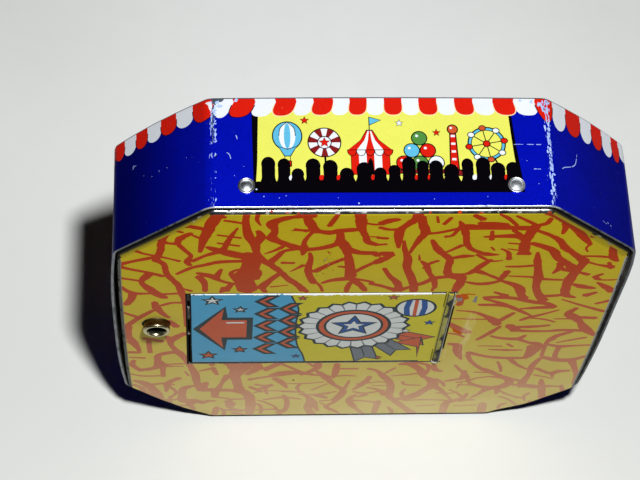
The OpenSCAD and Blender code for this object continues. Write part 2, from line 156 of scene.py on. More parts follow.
def ink(name, rgb, wear=True, grain=0.10, rough=(0.26, 0.42), coat=0.12, painted_sheen=0.0, speck=0.5, tint=0.0, spec=0.12,
        lift=0.35, chip=None, painted_wall_shade=False, painted_shadow_amount=0.0, edge=None):
    """Gloss litho ink on tin: fine grain, uneven gloss, and bare metal where the bends and the rim have rubbed through.
    tint is how far the metal shines through a clear ink, painted_sheen a painted reflection of the bright floor, a pale
    sheen that grows towards the foot of the plate; painted_wall_shade darkens the blue as painted shade, and
    painted_shadow_amount paints a shadow along the upper seams."""
    m, nt, b = new_mat(name)
    g = G(nt)
    fine = g.noise(5200, 2.0, 0.6)
    mid = g.noise(420, 3.0, 0.55)
    big = g.noise(60, 2.0, 0.5)
    lum = max(rgb) * 0.35 + 0.01
    lo = tuple(c * (1 - grain) for c in rgb)
    hi = tuple(min(1.0, c * (1 + grain) + lum * grain * lift) for c in rgb)
    col = g.mix(g.ramp(fine, 0.3, 0.7), lo, hi)
    col = g.mix(g.ramp(mid, 0.35, 0.7, 0.0, 0.5), col, tuple(c * (1 - grain * 1.3) for c in rgb))
    col = g.mix(g.ramp(big, 0.4, 0.65, 0.0, 0.35), col, tuple(min(1, c * 1.06 + 0.01 * lift) for c in rgb))
    if painted_wall_shade:
        # painted shade: the blue is darkened over the upper sloping walls, most on the left, and towards the foot
        x, y, z = g.sep()
        side = g.ramp(g.math('ABSOLUTE', x), 0.0195, 0.0315, 0.0, 1.0, True)
        up = g.ramp(z, 0.036, 0.052, 0.0, 1.0, True)
        d = g.math('MULTIPLY', side, up)
        left = g.ramp(x, -0.019, -0.022, 0.0, 1.0)
        d = g.math('MULTIPLY', d, g.math('MULTIPLY_ADD', left, 0.36, 0.56))
        d = g.math('MAXIMUM', d, g.ramp(z, 0.012, 0.004, 0.0, 0.85, True))
        col = g.mix(g.math('MULTIPLY', d, g.ramp(big, 0.35, 0.65, 0.92, 1.0)), col, tuple(c * 0.12 for c in rgb))
    # tiny pale pits, as dust and pinholes in the print
    pits = g.ramp(g.cells(1500), 0.045, 0.085, 1.0, 0.0)
    pits = g.math('MULTIPLY', pits, g.ramp(g.noise(230, 1.0), 0.55, 0.62))
    col = g.mix(g.math('MULTIPLY', pits, speck), col, tuple(0.5 * c + 0.32 for c in rgb))
    if painted_sheen:
        # painted reflection: a pale sheen for the bright floor's reflection grows towards the foot
        x, y, z = g.sep()
        cloud = g.noise(130, 3.0, 0.55, g.stretch((1, 1, .6)))
        low = g.ramp(z, 0.064, 0.0, 0.0, 1.0)
        low = g.math('POWER', low, 2.1)
        sheen_and_wear = g.math('MULTIPLY', low, g.ramp(cloud, 0.3, 0.7, painted_sheen * 0.8, painted_sheen * 1.15))
        # worn bands beside the hinge, where the open hatch lies back on the plate
        for cx, wd, z0, z1, st in ((0.01385, 0.0017, 0.0205, 0.0400, 0.30), (0.0116, 0.0006, 0.0190, 0.0270, 0.24),
                                   (0.0130, 0.0016, 0.0150, 0.0205, 0.26)):
            band = g.ramp(g.math('ABSOLUTE', g.math('SUBTRACT', x, cx)), 0.0, wd, 1.0, 0.0, True)
            band = g.math('MULTIPLY', band, g.ramp(z, z0, z0 + 0.002, 0.0, 1.0, True))
            band = g.math('MULTIPLY', band, g.ramp(z, z1 - (z1 - z0) * 0.45, z1, 1.0, 0.0, True))
            band = g.math('MULTIPLY', band, g.ramp(g.noise(900, 3.0, .6, g.stretch((1.6, 1, .35))), 0.3, 0.62, 0.2 * st, 1.2 * st))
            sheen_and_wear = g.math('MAXIMUM', sheen_and_wear, band)
        # the painted sheen and the worn bands beside the hinge both pale the ink
        col = g.mix(sheen_and_wear, col, (0.95, 0.84, 0.56))
    if painted_shadow_amount:
        # painted shadow: soft shade along the seam of the upper edges, as if cast by the tray's rim
        col = g.mix(g.math('MULTIPLY', g.attr("dirt"), g.ramp(big, 0.3, 0.7, 0.75 * painted_shadow_amount, painted_shadow_amount)), col, (0.028, 0.030, 0.012))
    if wear:
        bend, rim, kk = g.attr("bend"), g.attr("rim"), g.attr("kk")
        n1 = g.noise(700, 3.0, 0.65)
        n2 = g.noise(3000, 3.0, 0.7)
        f = g.math('ADD', g.math('MULTIPLY_ADD', n1, 2.6, -1.3), g.math('MULTIPLY_ADD', n2, 1.6, -0.8))
        f1 = g.math('SUBTRACT', g.math('ADD', f, kk), g.math('MULTIPLY', bend, 1.9))
        f2 = g.math('SUBTRACT', g.math('ADD', f, 0.55), g.math('MULTIPLY', rim, 5.0))
        w = g.ramp(g.math('MAXIMUM', f1, f2), 0.0, 0.12)
        bare = chip or TIN_CHIP
        metal = g.mix(g.ramp(n2, 0.35, 0.65), tuple(c * 0.5 for c in bare), bare)
        # a bruised, darker fringe round the bare metal
        fr = g.ramp(g.math('MAXIMUM', f1, f2), -0.28, 0.0, 0.0, 0.55)
        col = g.mix(fr, col, tuple(0.35 * c + 0.012 for c in rgb))
        col = g.mix(w, col, metal)
        g.link(g.ramp(w, 0.0, 1.0, tint, 0.55), b.inputs["Metallic"])
        rough_v = g.math('ADD', g.ramp(mid, 0.3, 0.7, *rough), g.math('MULTIPLY', w, 0.12))
        height = g.math('SUBTRACT', g.math('MULTIPLY', fine, 0.12), w)
    else:
        rough_v = g.ramp(mid, 0.3, 0.7, *rough)
        height = g.math('MULTIPLY', fine, 0.12)
    g.link(col, b.inputs["Base Color"])
    g.link(rough_v, b.inputs["Roughness"])
    b.inputs["Specular IOR Level"].default_value = spec
    if edge:
        b.inputs["Specular Tint"].default_value = edge + (1.0,)
    b.inputs["Coat Weight"].default_value = coat
    b.inputs["Coat Roughness"].default_value = 0.10
    b.inputs["Coat IOR"].default_value = 1.5
    g.bump(height, 0.25, 0.00003, b)
    return m


def metal(name, lo, hi, rough=(0.28, 0.5), streak=None, spots=0.3, bump=0.2, tarnish=None):
    """Bare metal: mottled colour, fine rolling or turning marks, and a little staining."""
    m, nt, b = new_mat(name)
    g = G(nt)
    co = g.stretch(streak) if streak else g.co
    lines = g.noise(2600, 3.0, 0.6, co)
    mott = g.noise(350, 3.0, 0.6)
    big = g.noise(90, 2.0, 0.5)
    col = g.mix(g.ramp(g.math('ADD', g.math('MULTIPLY', lines, 0.6), g.math('MULTIPLY', mott, 0.4)), 0.36, 0.64), lo, hi)
    stain = g.math('MULTIPLY', g.ramp(big, 0.5, 0.7), g.ramp(mott, 0.45, 0.65, 0.0, spots))
    col = g.mix(stain, col, tarnish or tuple(c * 0.35 for c in lo))
    g.link(col, b.inputs["Base Color"])
    g.link(g.math('ADD', g.ramp(mott, 0.3, 0.7, *rough), g.math('MULTIPLY', stain, 0.3)), b.inputs["Roughness"])
    b.inputs["Metallic"].default_value = 1.0
    g.bump(g.math('ADD', lines, g.math('MULTIPLY', mott, 0.5)), bump, 0.00003, b)
    return m


BLUE_CHIP = (0.22, 0.30, 0.62)
INK = {
    # printed tray
    "blue": dict(rgb=(0.0012, 0.005, 0.41), grain=0.30, speck=0.30, tint=0.45, edge=(0.02, 0.06, 0.40), rough=(0.32, 0.44), spec=0.02, lift=0.0, coat=0.04,
                 chip=BLUE_CHIP, painted_wall_shade=True),
    "red": dict(rgb=(0.43, 0.0077, 0.0025), lift=0.05, speck=0.3, spec=0.05, coat=0.05),
    "white": dict(rgb=(0.51, 0.54, 0.58), grain=0.05, chip=(0.30, 0.36, 0.45)),
    "lemon": dict(rgb=(0.49, 0.50, 0.078), lift=0.05, grain=0.05, spec=0.05, coat=0.05),
    "black": dict(rgb=(0.0014, 0.001, 0.0018), speck=0.1, lift=0.0, spec=0.0, coat=0.03),
    "navy": dict(rgb=(0.002, 0.002, 0.02), tint=0.4, rough=(0.36, 0.5), lift=0.0, spec=0.02, coat=0.03),
    "slate": dict(rgb=(0.045, 0.06, 0.08), grain=0.4, lift=0.3, coat=0.0, spec=0.1),
    "pink": dict(rgb=(0.58, 0.46, 0.26)),
    "sky": dict(rgb=(0.07, 0.31, 0.47), lift=0.05),
    "green": dict(rgb=(0.05, 0.165, 0.033), lift=0.05),
    "maroon": dict(rgb=(0.14, 0.0065, 0.0075), lift=0.05, spec=0.05, coat=0.05),
    "orange": dict(rgb=(0.38, 0.055, 0.015), lift=0.05),
    "scratch": dict(rgb=(0.30, 0.40, 0.66), grain=0.35, rough=(0.4, 0.6), coat=0.0, speck=0.8),
    "flake": dict(rgb=(0.27, 0.38, 0.70), grain=0.45, rough=(0.4, 0.6), coat=0.0, speck=0.9),
    # back plate
    "p_yellow": dict(rgb=(0.500, 0.385, 0.012), grain=0.10, painted_sheen=0.50, spec=0.0, coat=0.03, lift=0.0, speck=0.2, painted_shadow_amount=0.8),
    "p_red": dict(rgb=(0.403, 0.036, 0.006), grain=0.10, painted_sheen=0.50, spec=0.0, coat=0.03, lift=0.0, speck=0.2, painted_shadow_amount=0.8),
    # dark ink for specks, also used as painted shade in the seam and at the hatch's gaps
    "p_black_and_shade": dict(rgb=(0.020, 0.018, 0.014), grain=0.25, spec=0.0, coat=0.0, lift=0.0),
    "p_scuff": dict(rgb=(0.22, 0.22, 0.185), grain=0.25, spec=0.02, coat=0.0),
    "p_pale": dict(rgb=(0.34, 0.35, 0.32), grain=0.25, spec=0.02, coat=0.0),
    "p_band": dict(rgb=(0.13, 0.13, 0.11), grain=0.3, spec=0.02, coat=0.0),
    "p_orange": dict(rgb=(0.50, 0.10, 0.010), grain=0.12, spec=0.0, coat=0.03, lift=0.0),
    # painted shade: near-black for the seam round the plate
    "groove": dict(rgb=(0.004, 0.004, 0.004), grain=0.3, spec=0.03, coat=0.0, rough=(0.6, 0.8), speck=0.0, lift=0.0),
    # hatch
    # painted highlight: near-white, for the hatch's rubbed top edge catching the light
    "h_wear_and_highlight": dict(rgb=(0.80, 0.82, 0.80), grain=0.12, spec=0.1, coat=0.0, speck=0.0),
    "h_sky": dict(rgb=(0.067, 0.318, 0.53), spec=0.0, coat=0.06, lift=0.0, painted_sheen=0.14),
    "h_yellow": dict(rgb=(0.52, 0.462, 0.029), spec=0.0, coat=0.06, lift=0.0, painted_sheen=0.16),
    "h_white": dict(rgb=(0.58, 0.61, 0.60), grain=0.06, spec=0.0, coat=0.06, painted_sheen=0.08),
    "h_orange": dict(rgb=(0.48, 0.092, 0.046), spec=0.0, coat=0.06, lift=0.0, painted_sheen=0.14),
    "h_ink": dict(rgb=(0.028, 0.045, 0.056), spec=0.0, coat=0.04, lift=0.0, painted_sheen=0.12),
    "h_slate": dict(rgb=(0.13, 0.16, 0.20), spec=0.0, coat=0.06, lift=0.0, painted_sheen=0.14),
    "h_blue": dict(rgb=(0.022, 0.08, 0.27), spec=0.0, coat=0.06, lift=0.0, painted_sheen=0.14),
    # dial
    "d_white": dict(rgb=(0.72, 0.70, 0.62), grain=0.05, coat=0.2),
    "d_black": dict(rgb=(0.01, 0.01, 0.012), coat=0.2),
}
NO_WEAR = {"d_white", "d_black", "scratch", "flake", "groove"}
MATS = {k: ink("ink_" + k, wear=k not in NO_WEAR, **v) for k, v in INK.items()}
MATS["tin_edge"] = metal("tin_edge", (0.46, 0.49, 0.55), (0.78, 0.80, 0.84), (0.18, 0.36), bump=0.1)


def rim_tin():
    """Open rim of the tray with painted light: a painted highlight along the top and in patches down the left, and
    painted shade, dark dull tin, elsewhere.
    """
    m, nt, b = new_mat("rim_tin")
    g = G(nt)
    x, y, z = g.sep()
    n1, n2 = g.noise(520, 3.0, 0.65), g.noise(2600, 3.0, 0.65)
    # painted highlight along the top edge, and in patches that grow on the left; the rest is painted shade
    top = g.ramp(z, 0.0628, 0.0640, 0.0, 1.0, True)
    left = g.ramp(x, -0.0312, -0.0320, 0.0, 0.15, True)
    patch = g.ramp(g.math('MULTIPLY_ADD', n2, 0.4, n1), 0.52, 0.72)
    f = g.math('MAXIMUM', g.math('MULTIPLY', top, g.ramp(n1, 0.30, 0.42, 0.25, 1.0)), g.math('MULTIPLY', patch, g.math('ADD', left, 0.12)))
    col = g.mix(g.ramp(n2, 0.35, 0.65), (0.010, 0.013, 0.017), (0.026, 0.032, 0.038))
    col = g.mix(f, col, (0.66, 0.70, 0.76))
    g.link(col, b.inputs["Base Color"])
    g.link(g.ramp(n2, 0.3, 0.7, 0.30, 0.48), b.inputs["Roughness"])
    g.link(g.ramp(f, 0.0, 1.0, 0.25, 0.9), b.inputs["Metallic"])
    b.inputs["Specular IOR Level"].default_value = 0.1
    g.bump(n2, 0.2, 0.00003, b)
    return m


MATS["rim_tin"] = rim_tin()
MATS["cut_edge"] = metal("cut_edge", (0.05, 0.05, 0.05), (0.14, 0.13, 0.12), (0.4, 0.6), bump=0.1)
MATS["tin_inside"] = metal("tin_inside", (0.40, 0.39, 0.35), (0.62, 0.61, 0.56), (0.3, 0.5), (1, 0.15, 1))
MATS["rivet_dish"] = metal("rivet_dish", (0.26, 0.28, 0.30), (0.50, 0.54, 0.56), (0.36, 0.50), spots=0.6, bump=0.35)
MATS["bare_tin"] = metal("bright_tin", (0.55, 0.56, 0.58), (0.82, 0.83, 0.84), (0.2, 0.38))
MATS["tinned"] = metal("dull_tin", (0.42, 0.43, 0.44), (0.66, 0.67, 0.68), (0.32, 0.52), (0.12, 1, 1), spots=0.45)
MATS["spring"] = metal("spring_steel", (0.24, 0.25, 0.28), (0.46, 0.47, 0.50), (0.25, 0.42), spots=0.5)
MATS["brass"] = metal("turned_brass", (0.30, 0.26, 0.14), (0.52, 0.48, 0.31), (0.22, 0.38), (1, 0.1, 1), spots=0.4,
                      tarnish=(0.10, 0.06, 0.02))
MATS["brass_dark"] = metal("tarnished_brass", (0.035, 0.018, 0.008), (0.17, 0.105, 0.045), (0.26, 0.42), spots=0.6,
                           tarnish=(0.012, 0.006, 0.003))
# painted shade: the button's bore is lined with near-black brass, for the shade inside the hole
MATS["brass_bore_shade"] = metal("bore_painted_shade", (0.020, 0.021, 0.015), (0.065, 0.068, 0.050), (0.9, 1.0), spots=0.6, tarnish=(0.012, 0.010, 0.006))


# ------------------------------------------------------------------ flat artwork as a triangulated partition
def area(p):
    return 0.5 * sum(p[i][0] * p[(i + 1) % len(p)][1] - p[(i + 1) % len(p)][0] * p[i][1] for i in range(len(p)))


class Canvas:
    """Painter's-order shapes, turned into triangles that each carry the colour on top. A None colour is a hole."""

    def __init__(self):
        self.v, self.f, self.c, self.e = [], [], [], []

    def face(self, pts, col):
        if abs(area(pts)) < 1e-6:
            return
        if area(pts) < 0:
            pts = pts[::-1]
        i = len(self.v)
        self.v += [Vector((p[0], p[1])) for p in pts]
        self.f.append(list(range(i, i + len(pts))))
        self.c.append(col)

    def line(self, pts, closed=False):
        i, n = len(self.v), len(pts)
        self.v += [Vector((p[0], p[1])) for p in pts]
        self.e += [(i + j, i + (j + 1) % n) for j in range(n if closed else n - 1)]

    def solve(self):
        v, _, f, _, _, of = delaunay_2d_cdt(self.v, self.e, self.f, 0, 2e-4, True)
        tris = []
        for t, o in zip(f, of):
            if not o:
                continue
            col = self.c[max(o)]
            if col is not None:
                if area([v[i] for i in t]) < 0:
                    t = t[::-1]
                tris.append((tuple(t), col))
        return [tuple(p) for p in v], tris


def offset(pts, d):
    """Closed outline moved outwards by d, with mitred corners."""
    s = 1 if area(pts) > 0 else -1
    n, out = len(pts), []
    for i in range(n):
        p, q, r = Vector(pts[i - 1]), Vector(pts[i]), Vector(pts[(i + 1) % n])
        a, b = (q - p).normalized(), (r - q).normalized()
        na, nb = Vector((a.y, -a.x)) * s, Vector((b.y, -b.x)) * s
        k = 1 + na.dot(nb)
        mv = (na + nb) / max(k, 0.45)
        out.append(tuple(q + mv * d))
    return out


def ribbon(pts, w, cap=True):
    """Outline of a stroke along pts; w is its width, one number or one for each point."""
    n = len(pts)
    ws = [w] * n if isinstance(w, (int, float)) else list(w)
    L, R = [], []
    for i in range(n):
        a = Vector(pts[max(i - 1, 0)][:2])
        b = Vector(pts[min(i + 1, n - 1)][:2])
        t = (b - a).normalized()
        m = Vector((-t.y, t.x))
        k = 1.0
        if 0 < i < n - 1:
            t0 = (Vector(pts[i]) - a).normalized()
            k = min(1 / max(abs(t0.dot(t)), 0.5), 1.6)
        q = Vector(pts[i])
        L.append(tuple(q + m * ws[i] / 2 * k))
        R.append(tuple(q - m * ws[i] / 2 * k))
    if cap:
        for j, e in ((0, -1), (n - 1, 1)):
            if ws[j] > 0.12:
                t = (Vector(pts[j]) - Vector(pts[j - e])).normalized() * ws[j] * 0.36
                q = tuple(Vector(pts[j]) + t)
                (L if j else R).append(q) if j else R.insert(0, q)
    return L + R[::-1]


def disc(c, r, n=24, ry=None, rot=0.0):
    ry = r if ry is None else ry
    out = []
    for i in range(n):
        a = 2 * pi * i / n
        x, y = r * cos(a), ry * sin(a)
        out.append((c[0] + x * cos(rot) - y * sin(rot), c[1] + x * sin(rot) + y * cos(rot)))
    return out


def star(c, R, r=None, n=5, rot=90.0):
    r = R * 0.42 if r is None else r
    return [(c[0] + (R if i % 2 == 0 else r) * cos(rad(rot + 180 * i / n)),
             c[1] + (R if i % 2 == 0 else r) * sin(rad(rot + 180 * i / n))) for i in range(2 * n)]


def box2(x0, y0, x1, y1, r=0.0, n=4):
    if r <= 0:
        return [(x0, y0), (x1, y0), (x1, y1), (x0, y1)]
    out = []
    for cx, cy, a0 in ((x1 - r, y0 + r, -90), (x1 - r, y1 - r, 0), (x0 + r, y1 - r, 90), (x0 + r, y0 + r, 180)):
        out += [(cx + r * cos(rad(a0 + 90 * i / n)), cy + r * sin(rad(a0 + 90 * i / n))) for i in range(n + 1)]
    return out


def curve(pts, n=6):
    """Catmull-Rom curve through pts."""
    out = []
    P = [pts[0]] + list(pts) + [pts[-1]]
    for i in range(1, len(P) - 2):
        a, b, c, d = (Vector(q) for q in P[i - 1:i + 3])
        for j in range(n):
            t = j / n
            q = 0.5 * ((2 * b) + (c - a) * t + (2 * a - 5 * b + 4 * c - d) * t * t + (3 * b - a - 3 * c + d) * t ** 3)
            out.append(tuple(q))
    out.append(tuple(pts[-1]))
    return out


class Art:
    """Draws shapes on a canvas through a placing function."""

    def __init__(self, canvas, tf=lambda p: p, line="black", w=0.14):
        self.cv, self.tf, self.ln, self.w = canvas, tf, line, w

    def fill(self, pts, col):
        self.cv.face([self.tf(p) for p in pts], col)

    def shape(self, pts, col, w=None, line=None):
        w = self.w if w is None else w
        self.fill(offset(pts, w / 2), line or self.ln)
        self.fill(offset(pts, -w / 2), col)

    def stroke(self, pts, w=None, col=None):
        self.fill(ribbon(pts, self.w if w is None else w), col or self.ln)

    def outlined(self, pts, w, col, edge=None):
        e = self.w if edge is None else edge
        ws = [w] * len(pts) if isinstance(w, (int, float)) else w
        self.fill(ribbon(pts, [x + 2 * e for x in ws]), self.ln)
        self.fill(ribbon(pts, ws), col)


# ------------------------------------------------------------------ eight-sided outline, and sheet folded round it
class Oct:
    """Eight-sided outline about (0, ZC), moved in by d. Wall k faces 45 k degrees from straight up, towards +X."""

    def __init__(self, d):
        self.r = BEND - d
        t = BEND * math.tan(rad(22.5))
        self.R = [HALF - d if k % 2 == 0 else (2 * HALF - CUT) / math.sqrt(2) - d for k in range(8)]
        self.h = [HALF - CUT - t if k % 2 == 0 else CUT / math.sqrt(2) - t for k in range(8)]
        self.n = [(sin(rad(45 * k)), cos(rad(45 * k))) for k in range(8)]
        self.t = [(cos(rad(45 * k)), -sin(rad(45 * k))) for k in range(8)]
        self.c = [((self.R[k] - self.r) * self.n[k][0] + self.h[k] * self.t[k][0],
                   (self.R[k] - self.r) * self.n[k][1] + self.h[k] * self.t[k][1]) for k in range(8)]

    def wall(self, k, a, d=0.0):
        """Point on wall k at a along it, d outside the outline, about (0, 0)."""
        k %= 8
        b = self.R[k] + d
        return (b * self.n[k][0] + a * self.t[k][0], b * self.n[k][1] + a * self.t[k][1])

    def ring(self, d=0.0, n=8):
        out = []
        for k in range(8):
            out.append(self.wall(k, -self.h[k], d))
            for i in range(n):
                f = rad(45 * k + 45 * i / n)
                out.append((self.c[k][0] + (self.r + d) * sin(f), self.c[k][1] + (self.r + d) * cos(f)))
        return out

    def locate(self, x, z):
        """(distance outside the outline, normal, wall, distance along it from the bend's middle, wall position)."""
        best = None
        for k in range(8):
            n, t = self.n[k], self.t[k]
            a, b = x * t[0] + z * t[1], x * n[0] + z * n[1]
            if abs(a) <= self.h[k] + 1e-6 and b > self.R[k] - 1.2:
                arc = pi / 8 * BEND
                return b - self.R[k], n, k, self.h[k] - abs(a) + arc, a
            q = (x - self.c[k][0], z - self.c[k][1])
            rr = math.hypot(*q)
            if rr > 1e-6:
                f = math.degrees(math.atan2(q[0], q[1])) - 45 * k
                f = (f + 180) % 360 - 180
                if -1e-4 <= f <= 45 + 1e-4 and rr > max(self.r - 1.2, 0.02):
                    m = (q[0] / rr, q[1] / rr)
                    best = (rr - self.r, m, k, abs(f - 22.5) / 45 * pi / 4 * BEND, self.h[k] if f < 22.5 else -self.h[(k + 1) % 8])
                    if f >= 22.5:
                        best = (best[0], best[1], (k + 1) % 8, best[3], best[4])
        if best:
            return best
        bl = [self.R[k] - (x * self.n[k][0] + z * self.n[k][1]) for k in range(8)]
        k = min(range(8), key=lambda i: bl[i])
        return -bl[k], self.n[k], k, 9.0, 0.0


def folded(base, fil, sy, shape, low=None):
    """Returns wrap(p) that folds a flat blank over a fillet of radius fil and down the walls.
    base is the outline of the flat part, and sy the way that the walls run. shape(x, z, d, k, a) gives the point in
    the flat after any bulge, its Y, and the slope of the flat part towards the edge. low(x, z, d) gives the new
    height of a folded point."""
    arc = pi / 2 * fil

    def fold(x, z):
        d, n, k, bend, a = base.locate(x, z)
        x, y0, z, n2 = shape(x, z, d, k, a)
        if d <= 0:
            return (x, y0, ZC + z), (-n[0] * n2 * sy, -sy, -n[1] * n2 * sy), d, k, bend, a
        bx, bz = x - n[0] * d, z - n[1] * d
        if d < arc:
            f = d / fil
            o = fil * sin(f)
            return ((bx + n[0] * o, y0 + sy * fil * (1 - cos(f)), ZC + bz + n[1] * o),
                    (n[0] * sin(f), -sy * cos(f), n[1] * sin(f)), d, k, bend, a)
        return ((bx + n[0] * fil, y0 + sy * (fil + d - arc), ZC + bz + n[1] * fil), (n[0], 0, n[1]), d, k, bend, a)

    def wrap(x, z):
        q = fold(x, z)
        return ((q[0][0], q[0][1], ZC + low(q[0][0], q[0][2] - ZC, q[2])),) + q[1:]

    return wrap if low else fold


def add_object(name, verts, faces, mats, mat_ids, normals=None, smooth=True):
    me = bpy.data.meshes.new(name)
    me.from_pydata([(x * MM, y * MM, z * MM) for x, y, z in verts], [], faces)
    for m in mats:
        me.materials.append(m)
    me.polygons.foreach_set("material_index", mat_ids)
    me.polygons.foreach_set("use_smooth", [smooth] * len(faces))
    if normals is not None:
        me.normals_split_custom_set(normals)
    me.update()
    ob = bpy.data.objects.new(name, me)
    scene.collection.objects.link(ob)
    return ob


RIM = [(-0.03, 0.045), (-0.09, 0.075), (-0.175, 0.08), (-0.26, 0.075), (-0.32, 0.045)]


def sheet(name, canvas, wrap, flip, inner, edge="tin_edge", thick=SHEET, strength=None, rim_of=None, bevel=0.0, taper=None):
    """Closed solid of thin sheet from a solved canvas. rim_of(x, z) says that a boundary point is on the open rim,
    which gets a rounded edge; the other boundaries get plain edges."""
    P, tris = canvas.solve()
    used = sorted({i for t, _ in tris for i in t})
    new = {i: j for j, i in enumerate(used)}
    info = [wrap(*P[i]) for i in used]
    pos = [Vector(q[0]) for q in info]
    nor = [Vector(q[1]) for q in info]
    n = len(pos)
    inn = [pos[j] - nor[j] * thick for j in range(n)]
    if taper:
        for j, i in enumerate(used):
            s = taper(*P[i])
            if s is not None:
                inn[j] = Vector(wrap(*s)[0]) - nor[j] * thick
    verts = pos + inn
    faces, ids, lnor = [], [], []
    keys = []

    def mid(k):
        if k not in keys:
            keys.append(k)
        return keys.index(k)

    count = {}
    for t, col in tris:
        a = [new[i] for i in (t[::-1] if flip else t)]
        faces.append(a)
        ids.append(mid(col))
        lnor += [tuple(nor[i]) for i in a]
        for u, v in zip(a, a[1:] + a[:1]):
            count[(u, v)] = count.get((u, v), 0) + 1
    for t, col in tris:
        a = [new[i] for i in (t if flip else t[::-1])]
        faces.append([i + n for i in a])
        ids.append(mid(inner))
        lnor += [tuple(-nor[i]) for i in a]
    border = [(u, v) for (u, v) in count if (v, u) not in count]
    rimset = {}
    if rim_of:
        for j, i in enumerate(used):
            if rim_of(*P[i]):
                rimset[j] = True
    # rings of the rounded rim
    ring = {}

    def rim_ring(j):
        if j not in ring:
            e = Vector((0, -1 if flip else 1, 0))
            ids_ = []
            for dn, de in RIM:
                ids_.append(len(verts))
                verts.append(pos[j] + nor[j] * dn + e * de)
            ring[j] = ids_
        return [j] + ring[j] + [j + n]

    for u, v in border:
        if u in rimset and v in rimset:
            A, B = rim_ring(u), rim_ring(v)
            e = Vector((0, -1 if flip else 1, 0))
            prof = [(0.0, 0.0)] + RIM + [(-thick, 0.0)]
            pn = []
            for i in range(len(prof)):
                a, b = prof[max(i - 1, 0)], prof[min(i + 1, len(prof) - 1)]
                t = Vector((b[0] - a[0], b[1] - a[1])).normalized()
                pn.append((t.y, -t.x))
            pn[0], pn[-1] = (1, 0), (-1, 0)
            for i in range(len(prof) - 1):
                faces.append([B[i], A[i], A[i + 1], B[i + 1]])
                ids.append(mid(edge))
                for w, q in ((v, i), (u, i), (u, i + 1), (v, i + 1)):
                    lnor.append(tuple((nor[w] * pn[q][0] + e * pn[q][1]).normalized()))
        else:
            q = [v, u, u + n, v + n]
            faces.append(q)
            ids.append(mid(edge))
            fn = (verts[q[1]] - verts[q[0]]).cross(verts[q[2]] - verts[q[0]])
            fn = fn.normalized() if fn.length > 0 else nor[u]
            lnor += [tuple(fn)] * 4
    ob = add_object(name, verts, faces, [MATS[k] for k in keys], ids, lnor)
    me = ob.data
    m = len(verts)
    bend = [9.0] * m
    rim = [9.0] * m
    kk = [0.0] * m
    # the fourth attribute carries the painted shadow along the plate's upper seams
    dirt = [0.0] * m
    for j, q in enumerate(info):
        b, r_, s_, *more = strength(q, P[used[j]]) if strength else (9.0, 9.0, 0.0)
        bend[j], rim[j], kk[j] = b, r_, s_
        dirt[j] = more[0] if more else 0.0
    for nm, val in (("bend", bend), ("rim", rim), ("kk", kk), ("dirt", dirt)):
        me.attributes.new(nm, 'FLOAT', 'POINT').data.foreach_set("value", val)
    return ob
